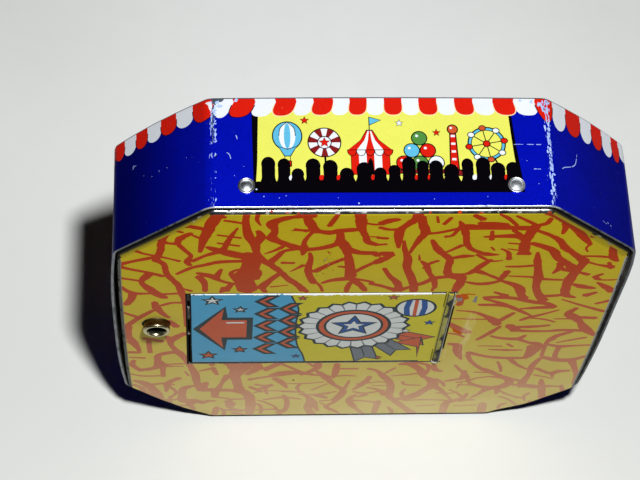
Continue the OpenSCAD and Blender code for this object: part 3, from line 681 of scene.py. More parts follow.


# ------------------------------------------------------------------ crackle
# strokes of the crackle pattern, given one by one: x, z (from the middle of the plate) and width of each point, in mm
CRACKS = (
    "-19.1,31.5,1.5 -20,29,1.65 -20.5,26.8,1.5 -21,24.5,1.05 -21.4,21.5,0.55; -23.9,28.4,0.85 -22.5,28.2,0.9 -21,27.6,0.85;"
    "-18.4,30.5,0.65 -19.5,30.8,0.75; -18.5,29.7,0.5 -17.5,29.4,0.55 -16.4,29,0.6;"
    "-15.8,32,0.85 -16,29.5,0.9 -15.6,25.8,1.25 -14.8,23.5,1.15 -14.5,21,0.95 -13.6,19,1.05 -12.8,18,1.15 -11.5,16,0.9 -10.5,14,1.05 -9.2,12.2,1.05 -8.4,10.6,1.15;"
    "-14.4,32,0.5 -14.7,30,0.6 -14.2,28.4,0.25;"
    "-7.9,30.8,1 -10.5,30.5,0.85 -12.2,29.7,1.25 -12.9,28.7,1.5 -12.5,27,0.85 -12.8,25.2,1.45 -11.7,24,1.2 -10,22.8,1.25 -8.6,22.2,1.4;"
    "-8.8,31.5,1.2 -8.7,30,1.25 -7.9,27.5,1.3 -7.5,26.7,1.4; -7.6,27,0.9 -6,26.5,1.2 -4.5,27,1.2 -2.4,27.3,0.9;"
    "-7.9,26.9,0.65 -8.6,25.2,0.6 -8.9,23.8,0.65 -8.8,22,1.2 -9,20.5,0.3;"
    "-8.9,22,1.1 -6.8,22.4,1 -5,23.5,1.1 -4.6,25,1.15 -4.8,26.9,0.85;"
    "-4.6,24.5,1.45 -3.8,22.5,1.35 -3.4,20.5,1 -3,17.5,1.25 -2.7,14.5,1.75;"
    "-2.7,31.8,1.35 -2.4,29.5,1.45 -2.2,27.5,1.05 -1.6,25.5,0.9 -1.2,24,1 0,23.2,0.85; -5,32,0.35 -5.4,30.5,0.7 -6.1,28.2,0.75;"
    "-2.5,29.2,0.45 -1,28.6,0.5 0,28.5,0.45; -3.4,22.2,1 -2.2,21.2,1.25 0,21,1.1; 0,25.3,0.35 -1.2,25.4,0.3;"
    "-2.9,14,1.25 -5,13.5,0.9 -6.2,12.7,0.55; -3.8,19.5,0.85 -5.5,18,0.75 -7.3,16,1;"
    "-8.1,21.2,0.45 -7.9,19.5,0.7 -8.1,17,1 -7.9,15,1 -7.2,12.7,0.9; -8.7,17.8,0.7 -10.3,16,0.2;"
    "-11.4,15.8,0.75 -12.8,13.5,0.9 -13.8,11.5,1.55; -13.6,20.9,0.25 -12.2,22,0.65 -11.4,22.9,0.75;"
    "-12.8,18.7,1.25 -12,20.2,0.85 -11.2,21.7,0.75 -9.4,22.3,0.75; -11.4,18.5,0.65 -9.9,18.4,0.6;"
    "-14.5,27,0.7 -14.1,25.5,1.25 -14.6,23.6,1; -14.2,25.5,0.75 -12.2,24.8,0.6;"
    "-16.9,27.8,0.3 -17.5,26.2,0.6 -18,24.5,0.75 -18.5,22.5,0.9 -19.2,21.4,1; -19.3,26,0.45 -16.5,25.2,0.5;"
    "-19.3,23.9,0.45 -16.7,23.1,0.5; -20.6,22.9,0.55 -19,21.8,1.5 -17.2,20.8,1.75 -15.4,20,1.5;"
    "-16.1,20.8,1.5 -15.1,19.8,2.5 -15.3,17,2.3 -16,14.5,2.8 -15.7,12.2,2.6 -15.4,10.5,2.3;"
    "-16.2,19,0.85 -19,18.8,0.85 -20.8,18,0.8 -22.5,17.2,0.75 -24.3,15.5,0.55; -19.2,21.5,1.1 -20.8,20.5,0.65 -22.4,19,0.75;"
    "-25.2,26.3,0.6 -26,24.2,0.95 -26.1,22.2,0.95 -26.6,20,0.9 -26.7,19.1,1.25; -27.1,25.3,0.55 -25.4,24.2,0.65;"
    "-25.6,27.8,0.35 -23.4,26.7,0.55;"
    "-22.4,26.5,0.75 -23.7,25.2,1.1 -24,23.8,0.75 -23.2,22,0.65 -22.5,20.5,0.65 -23,19,0.85 -22.6,17.9,0.7;"
    "-22.8,26.5,0.4 -21.2,25,0.55; -25.6,24,0.6 -24.1,23.7,0.7; -31.6,18,1.15 -29.8,19,0.75 -26.9,20.2,0.8;"
    "-29.7,22.4,0.7 -28.2,21.2,0.5 -26.6,20.5,0.55 -24.8,19.6,0.45 -23.9,19.1,0.6;"
    "-31.5,17.9,1 -30,17,0.6 -27.8,16,0.65 -25.9,14.9,0.75;"
    "-26.6,19.3,1 -25.8,18.2,0.85 -25.6,16.2,0.85 -25.2,14.7,0.85 -24.2,12.5,0.95 -23.8,10.5,1.1 -23.5,8,0.65 -23.4,4.5,0.5 -23.3,-0.1,0.5;"
    "-27.5,15.8,1.1 -28.2,14.5,1.15 -28.6,13.2,0.75 -27.8,11.5,1.2 -26.6,9.5,1.3 -25.7,8.7,0.85; -31.1,14.5,0.55 -28.9,13.7,0.55;"
    "-31.1,12,0.6 -29.8,10.2,0.9 -28,10,0.6 -26.9,10.2,0.75; -29.7,10.2,1.1 -29.9,8.5,1.1 -30.6,6.7,0.9; -26.6,9.7,0.7 -23.9,10,0.5;"
    "-27.2,7.5,0.8 -26.9,5.5,1.25 -26,3.5,0.75 -25.4,2.7,0.45; -26.4,6.4,0.65 -25,7.2,0.6 -23.4,7.2,0.55;"
    "-27.4,5,0.7 -29.2,2.7,0.9 -30.9,-0.1,0.8; -31.1,4.5,0.45 -29.4,3,0.65;"
    "-21.8,15.8,0.65 -20,14.8,1.25 -18.8,13.5,0.65 -17.1,12.5,0.7; -18.8,16.8,0.45 -19.5,14.4,1.1;"
    "-21.6,14.8,1.15 -20.9,13,0.9 -20.8,10.5,0.7; -17.4,12.8,0.65 -18.3,10.7,1.25; -23.6,11.4,0.35 -22.5,10.6,0.6;"
    "-16.7,16.8,0.45 -17.6,15.5,0.65 -16.4,12.8,1.1; -14.8,17.2,0.6 -14.2,15.8,1 -14.5,14,1; -10.4,12.2,0.25 -12.6,11.7,0.4;"
    "-25.6,1.8,0.9 -24.5,-0.1,1.1; -10.2,27.5,0.45 -8.6,26.9,0.7; -10.5,27.1,0.25 -8.5,27.1,0.75; -4.5,17.4,0.3 -3.5,17.2,0.75;"
    "-5.9,21.5,0.25 -5.7,21,0.2; -0.1,28.7,1 1,29.5,1.25 2.1,29.8,0.65; -0.1,27.8,0.7 1.2,27.2,0.65 2.5,27.4,0.75;"
    "4.2,31.5,1.3 4.1,30,1.3 3,28.2,1.05 2.4,27,1.25 2.4,25,1.1 2.6,22.4,0.45;"
    "4.7,30.5,0.95 5,28.5,1.15 5.5,26.5,1.25 5,24.8,1 4.4,22.5,0.6 4.1,20.9,0.45;"
    "3.1,24.3,0.4 3.4,22,0.75 4,19.5,1.05 4.1,17,1.1 4.8,14.5,1.15 5.4,12,1.1 5.6,10.1,1;"
    "5.3,26,0.75 7.2,26.4,0.65 9,27.2,0.75 10.1,27.5,1.2; 8,25.3,0.65 8.8,25.6,0.6 9.4,27.3,0.6;"
    "9.7,27.9,1.5 12,27.7,1.4 14,27.8,1.5 16,27.5,1.1 18.6,27.4,1.25; 11.7,28.8,0.85 13.2,28.6,1 15.1,28.3,0.9;"
    "10.9,30.8,0.65 12.1,29.7,1.05; 13.9,31,0.4 15,30,0.65 16.3,28.1,0.55; 15.9,30.6,0.4 17.5,29.2,0.65 18.6,28.2,0.55;"
    "9.3,29.3,0.4 10,27.5,1.1 10.5,25.5,0.9 10.8,23.5,0.85 11.5,22,0.8 12.8,21,0.75 13.8,20.5,1.05 15.1,20.4,0.35;"
    "13.5,26.7,0.5 13.7,24.4,0.8; 12.7,25.2,0.45 16,25.4,1.1 17.6,25,1.5; 16,26.9,0.65 17,25.7,0.75 17.6,24.4,1;"
    "18.6,28.2,1.25 18.2,26.2,1.45 17.9,23.8,1.3 18.1,20.9,1.5; 17.4,20.6,0.7 18.9,20.6,0.8; 13.9,22.5,0.3 14.4,21.6,0.4;"
    "15.2,22,0.4 16.2,21,0.55 16.5,19.1,0.85; 16,22,0.3 17.6,21.5,0.4; 15.9,23.5,0.35 17.6,23.2,0.45;"
    "12.4,20.5,0.6 14.2,18.7,0.55 15.8,18.8,0.25; 19.4,31.3,0.95 20.8,30.5,1.25 22,29.2,1.25 23.5,27.2,1.05 24.8,25,1.2 26,23,0.6;"
    "25.9,23,0.5 25.6,22,0.35 26,21,0.2; 22,29.2,1.15 22.2,27.5,0.9 22.1,25.9,0.45; 20.1,30,0.6 19.8,28.7,0.8 18.9,28.2,0.75;"
    "18.9,26.8,0.7 20.5,25.7,0.7 22,24.2,0.95 23,22.2,1.15 24,21,0.95 25.2,19.5,1.15 26.1,18.4,1.5;"
    "18.7,23.5,0.85 20.8,22.2,1.25 21.8,21.2,1.25 22.5,19.5,1.1 23.8,18,1.15 25.1,16.4,1.45; 25.7,25.2,0.55 27.1,24.8,0.65;"
    "28.5,23.8,0.4 29,21.5,1.05 29.4,19.5,1.25 30.1,18.4,0.5; 25.2,19.9,0.4 27.5,19.8,0.6 29.1,19.5,0.5;"
    "26.1,18.5,0.4 27.8,17.5,0.45 29.8,16.8,1; 29.1,18.1,0.6 29.6,16.4,0.6;"
    "26.1,18.5,1.35 25.5,16,1.25 25,13.5,1.5 24.9,11,1.3 25.2,8.8,1.25 26.6,8,0.4; 22.9,18,0.75 23.2,16.7,1.05 22.6,15.1,0.4;"
    "23.2,16.5,1 24.8,15.7,0.75; 19.8,21,0.45 20.1,18.8,1 20.5,16.5,1.05 20.9,14,1.4 21,11.5,1.05 21.5,9.5,1.1 22.6,7.1,1.5;"
    "16.4,17.1,0.45 18.2,17.1,0.65 20.1,17.4,0.6; 17.2,14.4,0.35 20,14.1,0.55 21.5,13.5,0.7 24.1,13.2,0.5;"
    "16.8,15.8,0.95 16.5,14.5,0.95 16.1,13.1,0.7; 13.1,15.8,1.1 14.5,14.8,0.6 16.1,13.5,0.65;"
    "14.3,19,0.7 13.2,17.2,1 12.5,15.8,1.05 11.5,15,0.65 9.9,15.2,0.3; 11.9,12.8,0.45 13.5,12.2,0.85 15,12.4,0.95 16.3,13.1,0.55;"
    "16.2,13.2,0.6 18,12,0.95 19,10.8,1.5 19.5,8.8,1.05 20.1,7.9,1.25;"
    "6.5,24.5,0.5 7.2,22.5,1.05 8,21,1.05 9.2,19.2,1.05 9.2,17,0.95 9.5,15,1.25 11.1,14,1.55; 10.3,23,0.75 9.2,21.8,0.55 8.4,21,0.5;"
    "9.4,19.5,0.7 10.8,20,0.95 12.1,20.1,0.45; 11.3,14.5,1.05 11.2,12.5,1.4 10.8,10.1,0.95;"
    "5.7,18.8,0.4 6.5,17.5,0.95 7,15.5,0.75 7.8,13.5,0.95 8.2,11,0.5; 7.8,18.8,0.65 6.8,18,0.7 6.2,16.7,0.45;"
    "10.1,14.3,0.7 8,14,1 6.5,12.5,0.9 5,11.5,0.7 3.6,10.4,1.05; 1.3,16.8,0.65 2.2,14.5,0.8 3.2,12.8,1.1 3.8,10.5,0.9;"
    "-0.1,12.5,0.85 1.5,11.7,0.7 3.4,10.4,0.85; -0.1,20.5,1.1 1.5,20.7,1.6 1,19.4,1.35 -0.1,18.2,1; -0.1,25.1,0.7 1.1,24.9,0.6;"
    "-0.1,23.2,0.6 1.1,23.4,0.5; 26,15.3,0.65 27.1,14.7,0.8; 28.9,14.9,0.4 28.1,14,0.9 28.9,13.1,0.4;"
    "25.6,12,0.55 27,11.2,1.25 28.6,10.7,0.45; 28.6,12.4,0.4 29.8,11.1,1.1 30.9,9.8,1.4; 28.9,9.5,0.65 27.7,8.6,1.1;"
    "30.9,7,0.7 29.4,6.1,0.65; 24.9,7.5,0.3 27.5,5.8,0.55 30,4.2,0.7 31.4,3.4,0.55;"
    "14.7,8.2,0.65 17,8.2,1 19,7.8,0.9 21.2,6.8,1.05 23.2,6.2,1 24.4,5.2,0.85; 15.9,9.8,0.4 17.6,8.6,1;"
    "14.9,7.8,0.55 17.5,6.2,0.8 19.5,4.5,0.8 21.6,2.6,0.45; 14.4,6,0.65 17.5,5.8,0.95 18.9,5,0.65; 24.3,5.2,1 22,5,0.9 19.9,4.7,0.4;"
    "25.1,4.3,0.3 23.2,3,0.65 21.5,2,0.85 20.4,1.1,0.5; 27.3,4.8,0.65 26.5,3.2,1.25 27.5,1.8,1.5 28.6,0.1,0.75;"
    "27.2,2,0.85 30.1,1.7,0.85; 24.9,1.5,0.35 27.4,1.5,0.45; 11.8,5.9,0.9 11.9,7.4,0.9 11.4,8.9,0.75;"
    "11.7,4.3,0.3 14,3.8,0.55 16,2.2,0.95 17,1,1.55 17.6,-0.2,1.2; 19.3,3.5,0.65 18,1.5,0.9 17.2,0.4,1;"
    "11.4,1.8,0.3 14,1.6,0.35 16.1,1.5,0.4; 21.4,8.7,0.6 22.8,8.5,0.8 24.9,8.8,0.65; 20.9,2,0.3 23.5,1.4,0.5 25.1,0.5,0.35;"
    "6.5,30.5,0.35 6.8,28.9,0.4; 8.2,30.2,0.6 7.5,28.5,0.65; 5.3,20.5,0.2 5.5,19,0.35;"
    "-30.5,0.1,1 -30.8,-2.5,1.25 -30,-5,1 -29.4,-7.9,0.55; -28.2,-4.4,0.65 -28.1,-8.4,0.7; -28.8,-3.7,0.75 -26.4,-4.8,0.9;"
    "-23.4,-2.2,1 -24.9,-3.8,1.25 -25.4,-5.5,0.8 -24.9,-7.2,0.8 -24.2,-8.8,1.25 -23.4,-10.8,1.05 -22.8,-13.2,0.9 -22.2,-16,1.25 -22,-18.5,1.05 -21.5,-20.8,1.4 -21.2,-21.5,1.75;"
    "-25.8,-3.2,0.8 -25.4,-5.1,0.95; -31.2,-8.2,0.8 -29.4,-8.3,0.75;"
    "-24.7,-8.2,1 -27,-9.2,1 -27.2,-11.5,1 -27.6,-13.5,1 -29.6,-14.1,0.85; -30.2,-10.9,0.65 -30.5,-12.5,0.9 -29.4,-14.4,0.9;"
    "-30.7,-9.9,0.45 -28.8,-10.2,0.55; -26.6,-12.2,1 -26.6,-14.2,0.85 -26.6,-16.6,0.65; -26.6,-12.4,0.45 -23.7,-12.2,0.45;"
    "-26.6,-13,0.4 -23.8,-13.1,0.35; -31.1,-15.2,0.35 -29.5,-16,0.5 -26.4,-16.3,0.5; -23.6,-14.9,0.3 -23.1,-16.4,0.4;"
    "-30.6,-17.5,0.7 -29.2,-18.5,1.25 -28.2,-20.5,1.5 -27.4,-22.5,1.45 -26.9,-23.4,0.6;"
    "-29.6,-17.6,0.4 -28.5,-18.9,0.55 -25.9,-18.8,0.45; -24.4,-17.2,1 -25.8,-18.6,0.9 -26.3,-21.4,0.55;"
    "-26.6,-19.8,0.45 -25.1,-19.4,0.4;"
    "-22.4,-19.9,0.65 -23.8,-20.8,1.25 -24.1,-22.5,1.15 -24,-24.5,1.25 -22.5,-25.2,1.25 -20.9,-26.1,0.9;"
    "-20.7,-18.9,0.95 -21.2,-21.2,1.45 -19.5,-21.5,1.15 -17,-21.8,1.05 -15.6,-22.6,1.2; -19.4,-21.2,1.35 -19.5,-24.1,1.05;"
    "-17.7,-16.4,1.2 -18.5,-19,0.65 -19.1,-21.4,1;"
    "-16.9,-11.8,3.2 -16.4,-14,2.6 -16.7,-16.5,1.55 -16.4,-19,1.3 -16,-21.5,1.5 -14.8,-23.5,1.5 -14.4,-26.5,1.5 -14.5,-30.6,1.2;"
    "-14.5,-11.8,1.5 -13.6,-13.6,1.5 -15.1,-16.1,0.9; -19.8,-13.7,0.9 -19.2,-16.1,0.55; -19.7,-13.8,0.75 -21.6,-14.8,0.45;"
    "-20,-11.1,0.85 -19.9,-12.9,0.8; -14.6,-14.1,0.7 -12.8,-14.1,0.7 -11.1,-12.4,0.7;"
    "-12.6,-14.8,0.65 -10.8,-12.6,0.85 -10.4,-11.8,1.05; -10.3,-12.7,0.6 -8.5,-14.5,0.5 -7.1,-16.1,0.9;"
    "-14.8,-18,0.7 -12.8,-17.2,0.55 -10.5,-16.5,0.75 -8,-15.8,0.8 -5.4,-16.6,0.7;"
    "-5.5,-11.9,0.95 -5.5,-14,1.15 -6.8,-15.6,0.85 -7.6,-16.4,0.7; -7.1,-11.9,0.4 -5.9,-13.6,0.55;"
    "-5.6,-15,0.5 -4.2,-17.2,1.3 -3,-19.8,0.8 -1.5,-22,1 -1.8,-24,1.25 -2.6,-26.6,0.7;"
    "-2.8,-12.7,0.9 -2.9,-15.5,1.05 -3.1,-17.6,0.55; -3.3,-14.4,0.55 0.1,-14.4,0.6; -11.3,-17.5,0.95 -10.2,-19.1,1 -9.4,-21.1,0.45;"
    "-9.6,-19.5,0.3 -7,-19.5,0.4 -4.4,-19,0.35; -3.9,-19.7,0.35 -5.9,-21.9,0.45; -13.6,-21.6,0.65 -12.5,-20.8,0.8 -11.4,-19.9,0.5;"
    "-14.6,-20.5,0.65 -12.9,-22.4,0.7; -10.1,-22.2,0.6 -7.1,-22.6,0.7; -12.6,-25.3,0.5 -10,-24.5,0.65 -7.4,-25.1,0.5;"
    "-9.8,-23.7,0.75 -9.2,-26.2,0.8 -9.5,-29.5,0.9 -10.6,-30.1,0.75; -7.1,-23.2,0.65 -6,-25.2,1.05 -6.2,-28.2,1.25 -5.4,-31.1,1.2;"
    "-6.2,-23.6,0.45 -3.4,-23.2,0.45; -5.4,-23.9,0.65 -4.1,-24.6,0.75; -13.1,-25.6,0.4 -11.9,-26.6,0.45;"
    "-18,-25.7,0.8 -17,-26.6,1.05 -17.3,-28.4,0.65; -19.2,-27.9,0.95 -19.6,-30.9,1; -18.3,-28.8,0.65 -15.6,-29.6,0.7;"
    "-14.4,-29.1,0.55 -10.6,-28.8,0.6; -2.5,-26.5,0.6 -3.6,-28.1,0.75 -2.6,-29.6,0.5; -22.4,-26.1,0.6 -23.6,-25,0.75;"
    "-3.2,-28.2,0.45 -4.5,-26.5,0.35; 28.5,0.1,1 29.5,-2,1.5 30.9,-3.9,0.7; 19.9,-1,0.7 22.5,-0.9,0.9 24.6,-0.5,0.55;"
    "19.1,-0.4,1.25 20.3,-2.1,1.45; 20.9,-2.2,0.85 24,-2.4,0.65 26.5,-2.1,0.9 29.1,-2.3,0.85;"
    "27.8,-2.7,0.7 26.2,-3.8,0.9 25.5,-5,1.15 25,-6.5,0.65 25,-10.6,0.6; 26.4,-6.2,0.4 27.5,-5.6,0.5 29.9,-4.5,0.6;"
    "25.2,-6.7,0.6 27,-7.4,1 28.8,-7.2,0.65 30.9,-7,0.45; 27,-7.2,0.75 26.8,-10,0.75 27.1,-12.1,1;"
    "25.2,-11,0.9 27.5,-12,1.3 29.5,-11.8,1.05 31.1,-10.5,0.45; 29.2,-12,1.25 30,-14,0.9 30.8,-16.2,0.75 30.9,-18.6,0.55;"
    "18.1,-0.7,0.6 16.8,-3,0.9 15.4,-5.1,0.45; 11,0.5,0.75 13,-1.9,1.5 14.2,-2.6,0.9; 11.4,-2.8,0.4 12.8,-3.3,0.6 13.6,-4.1,0.4;"
    "17.2,-3.8,0.55 18.5,-4.5,0.75 20.8,-4.8,1.05 21.8,-3.7,0.6;"
    "20.7,-4.7,1 22.5,-6,0.65 24,-6.8,1.35 23.8,-8.8,1.25 23.2,-10.9,0.7; 23,-7.2,1 22.9,-9.5,0.7 22.7,-10.9,0.5;"
    "19.7,-6.4,0.45 20.6,-7.4,0.5; 15.9,-7,0.3 19.1,-7.2,0.4; 17.4,-8.2,0.3 19.8,-8.5,0.75 22.1,-8.5,0.3;"
    "11.7,-6.2,0.55 13,-6.8,1.25 13.2,-8.5,1.25 13.6,-10.2,0.9 14.1,-11.6,0.3;"
    "14.7,-9.2,1 16.2,-10,0.75 18,-10.8,0.8 20.5,-11.2,0.9 23.1,-11.2,0.7;"
    "14.8,-10,0.85 15.5,-12.2,0.65 17,-14.5,0.8 18.2,-15.5,1.15 20,-17.2,0.9 22,-18.5,0.65 23.4,-19.3,0.75;"
    "19.2,-12.4,0.4 19.8,-14.2,0.55 20.1,-15.9,0.4; 20.7,-11.4,0.85 22,-13.5,0.65 23.6,-15.1,0.45;"
    "25,-11.2,0.65 24.2,-14,1.05 24.2,-16.5,0.9 23.8,-19,1.05 23.5,-20.9,1.5;"
    "24.9,-14.8,0.7 26.2,-16,0.65 27.2,-16.5,1.05 28.2,-15.5,0.9 29.6,-15,0.55; 27.4,-16.2,0.75 27.6,-17.6,0.5;"
    "15,-15.4,0.7 15,-18,1.05 14.2,-18.5,0.75 12.7,-19.1,0.6;"
    "13.4,-13.4,0.4 14.5,-15.5,0.65 15.5,-17.2,0.65 16.2,-19.8,0.65 18,-21.2,1.05 19.9,-21.8,1; 16.4,-16,0.4 18.6,-16.2,0.5;"
    "18.4,-17.5,0.45 20.8,-18.2,0.8 21.8,-19.5,1.3 21,-21.2,1.5 19,-22,1.4 18,-23.8,0.65 16.9,-25.4,0.4;"
    "20.5,-21.7,1 20.5,-23.9,0.55; 23.4,-20.9,1.5 25.8,-20.8,0.8 27.8,-20,0.5 29.6,-19.7,0.3;"
    "26.2,-18.7,0.5 26.8,-21.2,1.3 27.6,-24.6,0.8; 29.4,-19.4,0.65 30.1,-21.6,0.7; 20.9,-24.9,0.4 22.5,-25.5,0.55 24.1,-26.9,0.45;"
    "25.8,-25.9,0.65 25.4,-27.4,0.75; 10.5,-13.4,0.75 10.9,-15,1 11.8,-15.6,0.7;"
    "5.7,-13,0.65 7.2,-13,1.25 8.8,-15,1.15 9.2,-16.5,1.25 9.6,-17.9,0.5;"
    "1.5,-14.4,0.55 2.8,-15.2,0.65 3.8,-17,1.25 4.8,-19,1.15 5.2,-21.2,1.25 5.2,-24.2,1.15 6,-25.8,1.05 7.2,-27.8,1.05 9.3,-31.1,1.25;"
    "5.3,-14.2,0.45 4,-16.1,0.5; 5,-17.1,0.35 7.5,-16.6,0.5 8.8,-16,0.4; 2,-17.2,0.7 1.5,-19,1.15 0.5,-21,0.8 -0.1,-21.9,0.45;"
    "9.7,-17.5,0.7 10.8,-19,1.4 11,-20.5,1.75 10.2,-22,1.3 8.5,-24.5,1.65 6.2,-25.6,0.85;"
    "11,-20.5,1.5 12.5,-22.5,0.9 13.5,-24.5,0.55 14.6,-26.6,0.45;"
    "13.5,-31.1,1.15 13.6,-27.5,1.25 14.2,-26.5,1.25 15.8,-25.5,1.05 16.3,-23.6,0.5; 6.7,-19.2,0.55 7.2,-20.2,0.55 9.3,-20.5,0.35;"
    "2.5,-20.5,0.3 4.8,-20.5,0.4; 1.9,-21.2,0.55 3.5,-22,0.65 4.6,-23.9,1.15; 0.7,-24.6,0.4 1.5,-24,0.8 2.1,-23.7,0.5;"
    "-0.1,-25.8,0.7 1.5,-26,0.5 3.4,-26.6,0.75; 3.8,-26.2,0.95 3.5,-30.6,0.9; 0.5,-27.4,0.45 0.8,-29,0.5 2.1,-31.1,0.6;"
    "19,-27.4,1.1 19.2,-31.2,1.45; 9.4,-28.2,0.3 12.1,-27.8,0.45; 14.9,-28.2,0.3 18.1,-28,0.35;"
    "7.5,-26,0.5 10.5,-25.8,0.5 14.1,-26.2,0.5; 14.5,-21.6,0.3 15.1,-19.9,0.35;"
    "-15.4,-11.4,1.3 -15.3,-13.4,1.7 -15.8,-15.1,1.1 -16.4,-17,0.7; -23.6,-25,0.6 -22.9,-26.7,0.8 -22.4,-28.2,0.5;"
    "-18.6,-28.3,0.4 -18.2,-29.4,0.7 -18.2,-31,0.6; -12,-20,0.4 -12.4,-21.6,0.6 -12.1,-23.2,0.4;"
    "-11.9,-16.6,0.6 -10.6,-15.7,1.1 -8.8,-15.3,0.9 -7.3,-15.8,0.6;"
    "0.5,-23.7,0.5 -0.3,-25,1 -0.3,-26.2,1.2 0.2,-27.8,1 1,-29.3,0.7 1.7,-30.6,0.6;"
    "-6.3,-24.4,0.6 -5.5,-26.2,1.2 -5.2,-27.8,0.9 -4.7,-29.6,0.5; -5.5,-23.6,0.6 -4.4,-24.2,1.1 -3.6,-25,0.5;"
    "-0.8,-18.6,0.4 -1,-19.8,0.5 -1.3,-21.4,0.7; -28.6,-19.4,1 -28,-21,1.1 -27.3,-22.8,0.7;"
    "-25.4,-22.8,0.4 -25.9,-24.2,0.6 -25.6,-25.6,0.4; -26.9,-11.1,0.5 -26.2,-12.8,0.9 -25.3,-13.1,0.5;"
    "-21.3,-26.4,0.5 -20.4,-25.5,0.9 -19.4,-25.6,0.5; -9.3,-28.6,0.5 -9.9,-29.6,0.8 -10.2,-31,0.6;"
    "11.3,-18.2,0.5 12.3,-19.6,0.7 12.8,-21,0.4; 17.7,-26.1,0.4 16.4,-26.1,0.7 15.5,-26.6,0.5;"
    "22.9,-20.8,0.6 21.9,-20.4,0.9 21.2,-20.8,0.6; 25.2,-22.6,0.4 24.6,-23.7,0.6 24.9,-24.8,0.4;"
    "8.9,-12.6,0.4 9.8,-13.6,0.8 9.9,-15.4,0.6 9.6,-17,0.4; -31,-4.6,0.5 -30.2,-5.4,0.7 -29.9,-6.7,0.4;"
    "21.4,-29.2,0.4 21.6,-27.8,0.6 22.4,-26.8,0.4; 5.4,-28.4,0.5 5.9,-29.6,0.7 6.2,-30.8,0.5;"
    "-14.2,-26.4,0.4 -13.2,-27.1,0.6 -12.8,-28.6,0.6 -12.9,-30.4,0.5; -7.4,-19.4,0.4 -8,-20.8,0.6 -7.6,-22.2,0.4;"
    "7.4,-21.8,0.4 6.9,-23,0.6 7.1,-24.4,0.7;"
    "-26.8,-18.8,0.5 -25.9,-20,0.6 -25.1,-21.2,0.5 -25,-22.4,0.6 -26,-23.2,0.4;"
    "-30.9,-18.8,0.5 -29.8,-19.8,0.8 -29.4,-21.2,1 -28.6,-22.6,0.8; -27.8,-23.2,0.6 -26.2,-24.1,0.6 -24.6,-24.1,0.5 -23.8,-24.6,0.6;"
    "-26.4,-24.9,0.5 -25.2,-26.1,0.5 -23.4,-26.4,0.6 -22.6,-27.4,0.5; -19.6,-24.1,0.5 -18.2,-24.5,0.5 -17,-25,0.6 -15.2,-24.8,0.5;"
    "-17.3,-25.4,0.9 -17.6,-27.2,0.9 -16.9,-28.6,0.8 -15.5,-29.2,0.7 -14.6,-28.6,0.6; -17.1,-30.1,0.6 -16.2,-30.4,1 -15.4,-30.8,0.8;"
    "-13.4,-25.4,0.4 -12,-26.6,0.5 -11,-27.8,0.5 -10.4,-29.4,0.5; -14,-22.6,0.4 -12,-22,0.4 -10,-22.1,0.4;"
    "-7.6,-23.4,0.5 -5.8,-23.6,0.6 -4,-23.1,0.5 -2.4,-22.5,0.4; -6.2,-16.5,0.4 -3.6,-17,0.4 -1.5,-16.8,0.5 0,-17,0.4;"
    "-14.8,-17.8,0.5 -13,-17.2,0.6 -11.8,-16.8,0.5; -13.9,-19.6,0.5 -12.6,-20.2,0.7 -11.6,-19.7,0.5;"
    "-4.6,-25.9,0.5 -3,-25.6,0.4 -2.4,-24.5,0.4; -3.1,-28.6,0.5 -2.2,-29.8,0.6 -1.4,-30.9,0.5;"
    "7,-12.3,0.7 8.6,-12.7,0.7 9.3,-13.2,0.5; 0.2,-19.8,0.4 1.8,-19.6,0.4 3.4,-19.1,0.4 4.6,-19.6,0.4;"
    "0,-22.6,0.5 1.4,-23.2,0.6 3,-22.8,0.5 4.4,-22.1,0.5; 14.3,-19.6,0.5 15.8,-19.1,0.5 17,-18.1,0.5 18.4,-17.7,0.5;"
    "14.6,-20.4,0.4 16.4,-20.6,0.4 18.2,-21.1,0.5; 13.6,-22.2,0.4 14.8,-23.4,0.4 15.6,-24.8,0.5;"
    "20.8,-22.6,0.4 21.8,-23.8,0.5 23.4,-24.4,0.5 24.9,-24.1,0.4; 25.6,-24.8,0.6 26.4,-25.6,0.7 25.4,-27,0.5;"
    "24.9,-17.1,0.4 26.4,-17.8,0.4 27.8,-18.1,0.4; 11.9,-23.3,0.4 13.6,-23.6,0.4 14.9,-23,0.3;"
    "-2.9,14.6,1.1 -2.1,13.2,1.2 -1.3,12,1 -0.6,10.4,0.8; -2.6,12.9,0.7 -2.9,11.6,0.8 -3,10.2,0.7;"
    "-7.1,13.2,0.4 -6.4,11.9,0.5 -6,10.3,0.4; -13.9,11.8,0.8 -13.2,10.2,0.7; -18.5,11.6,0.7 -18.8,10.2,0.6;"
    "0.1,18.6,0.6 -1.2,17.2,0.7 -2.5,15.6,0.7; -2.2,13.9,0.6 -0.9,13.4,0.6 0.2,12.9,0.6;"
    "28.1,14.2,0.5 28.3,13.3,0.4 29.6,13.1,0.4 31,13.2,0.3; 8,11.2,0.5 7.9,10.2,0.4; 3.4,11.4,0.8 3,10.2,0.6;"
    "5.3,11,0.8 5.4,10.2,0.8; -8.3,10.8,0.8 -8,10.2,0.7;")


def crackle(cv, red):
    """Red strokes of uneven width with soft corners."""
    rnd = random.Random(3)
    for st in CRACKS.split(";"):
        pts = [tuple(map(float, t.split(","))) for t in st.split()]
        if len(pts) < 2:
            continue
        c = curve([p[:2] for p in pts], 4)
        ws = [pts[min(i // 4, len(pts) - 1)][2] * (1 - i % 4 / 4) + pts[min(i // 4 + 1, len(pts) - 1)][2] * (i % 4 / 4)
              for i in range(len(c))]
        cv.face(ribbon(c, [w * rnd.uniform(.90, 1.10) for w in ws]), red)


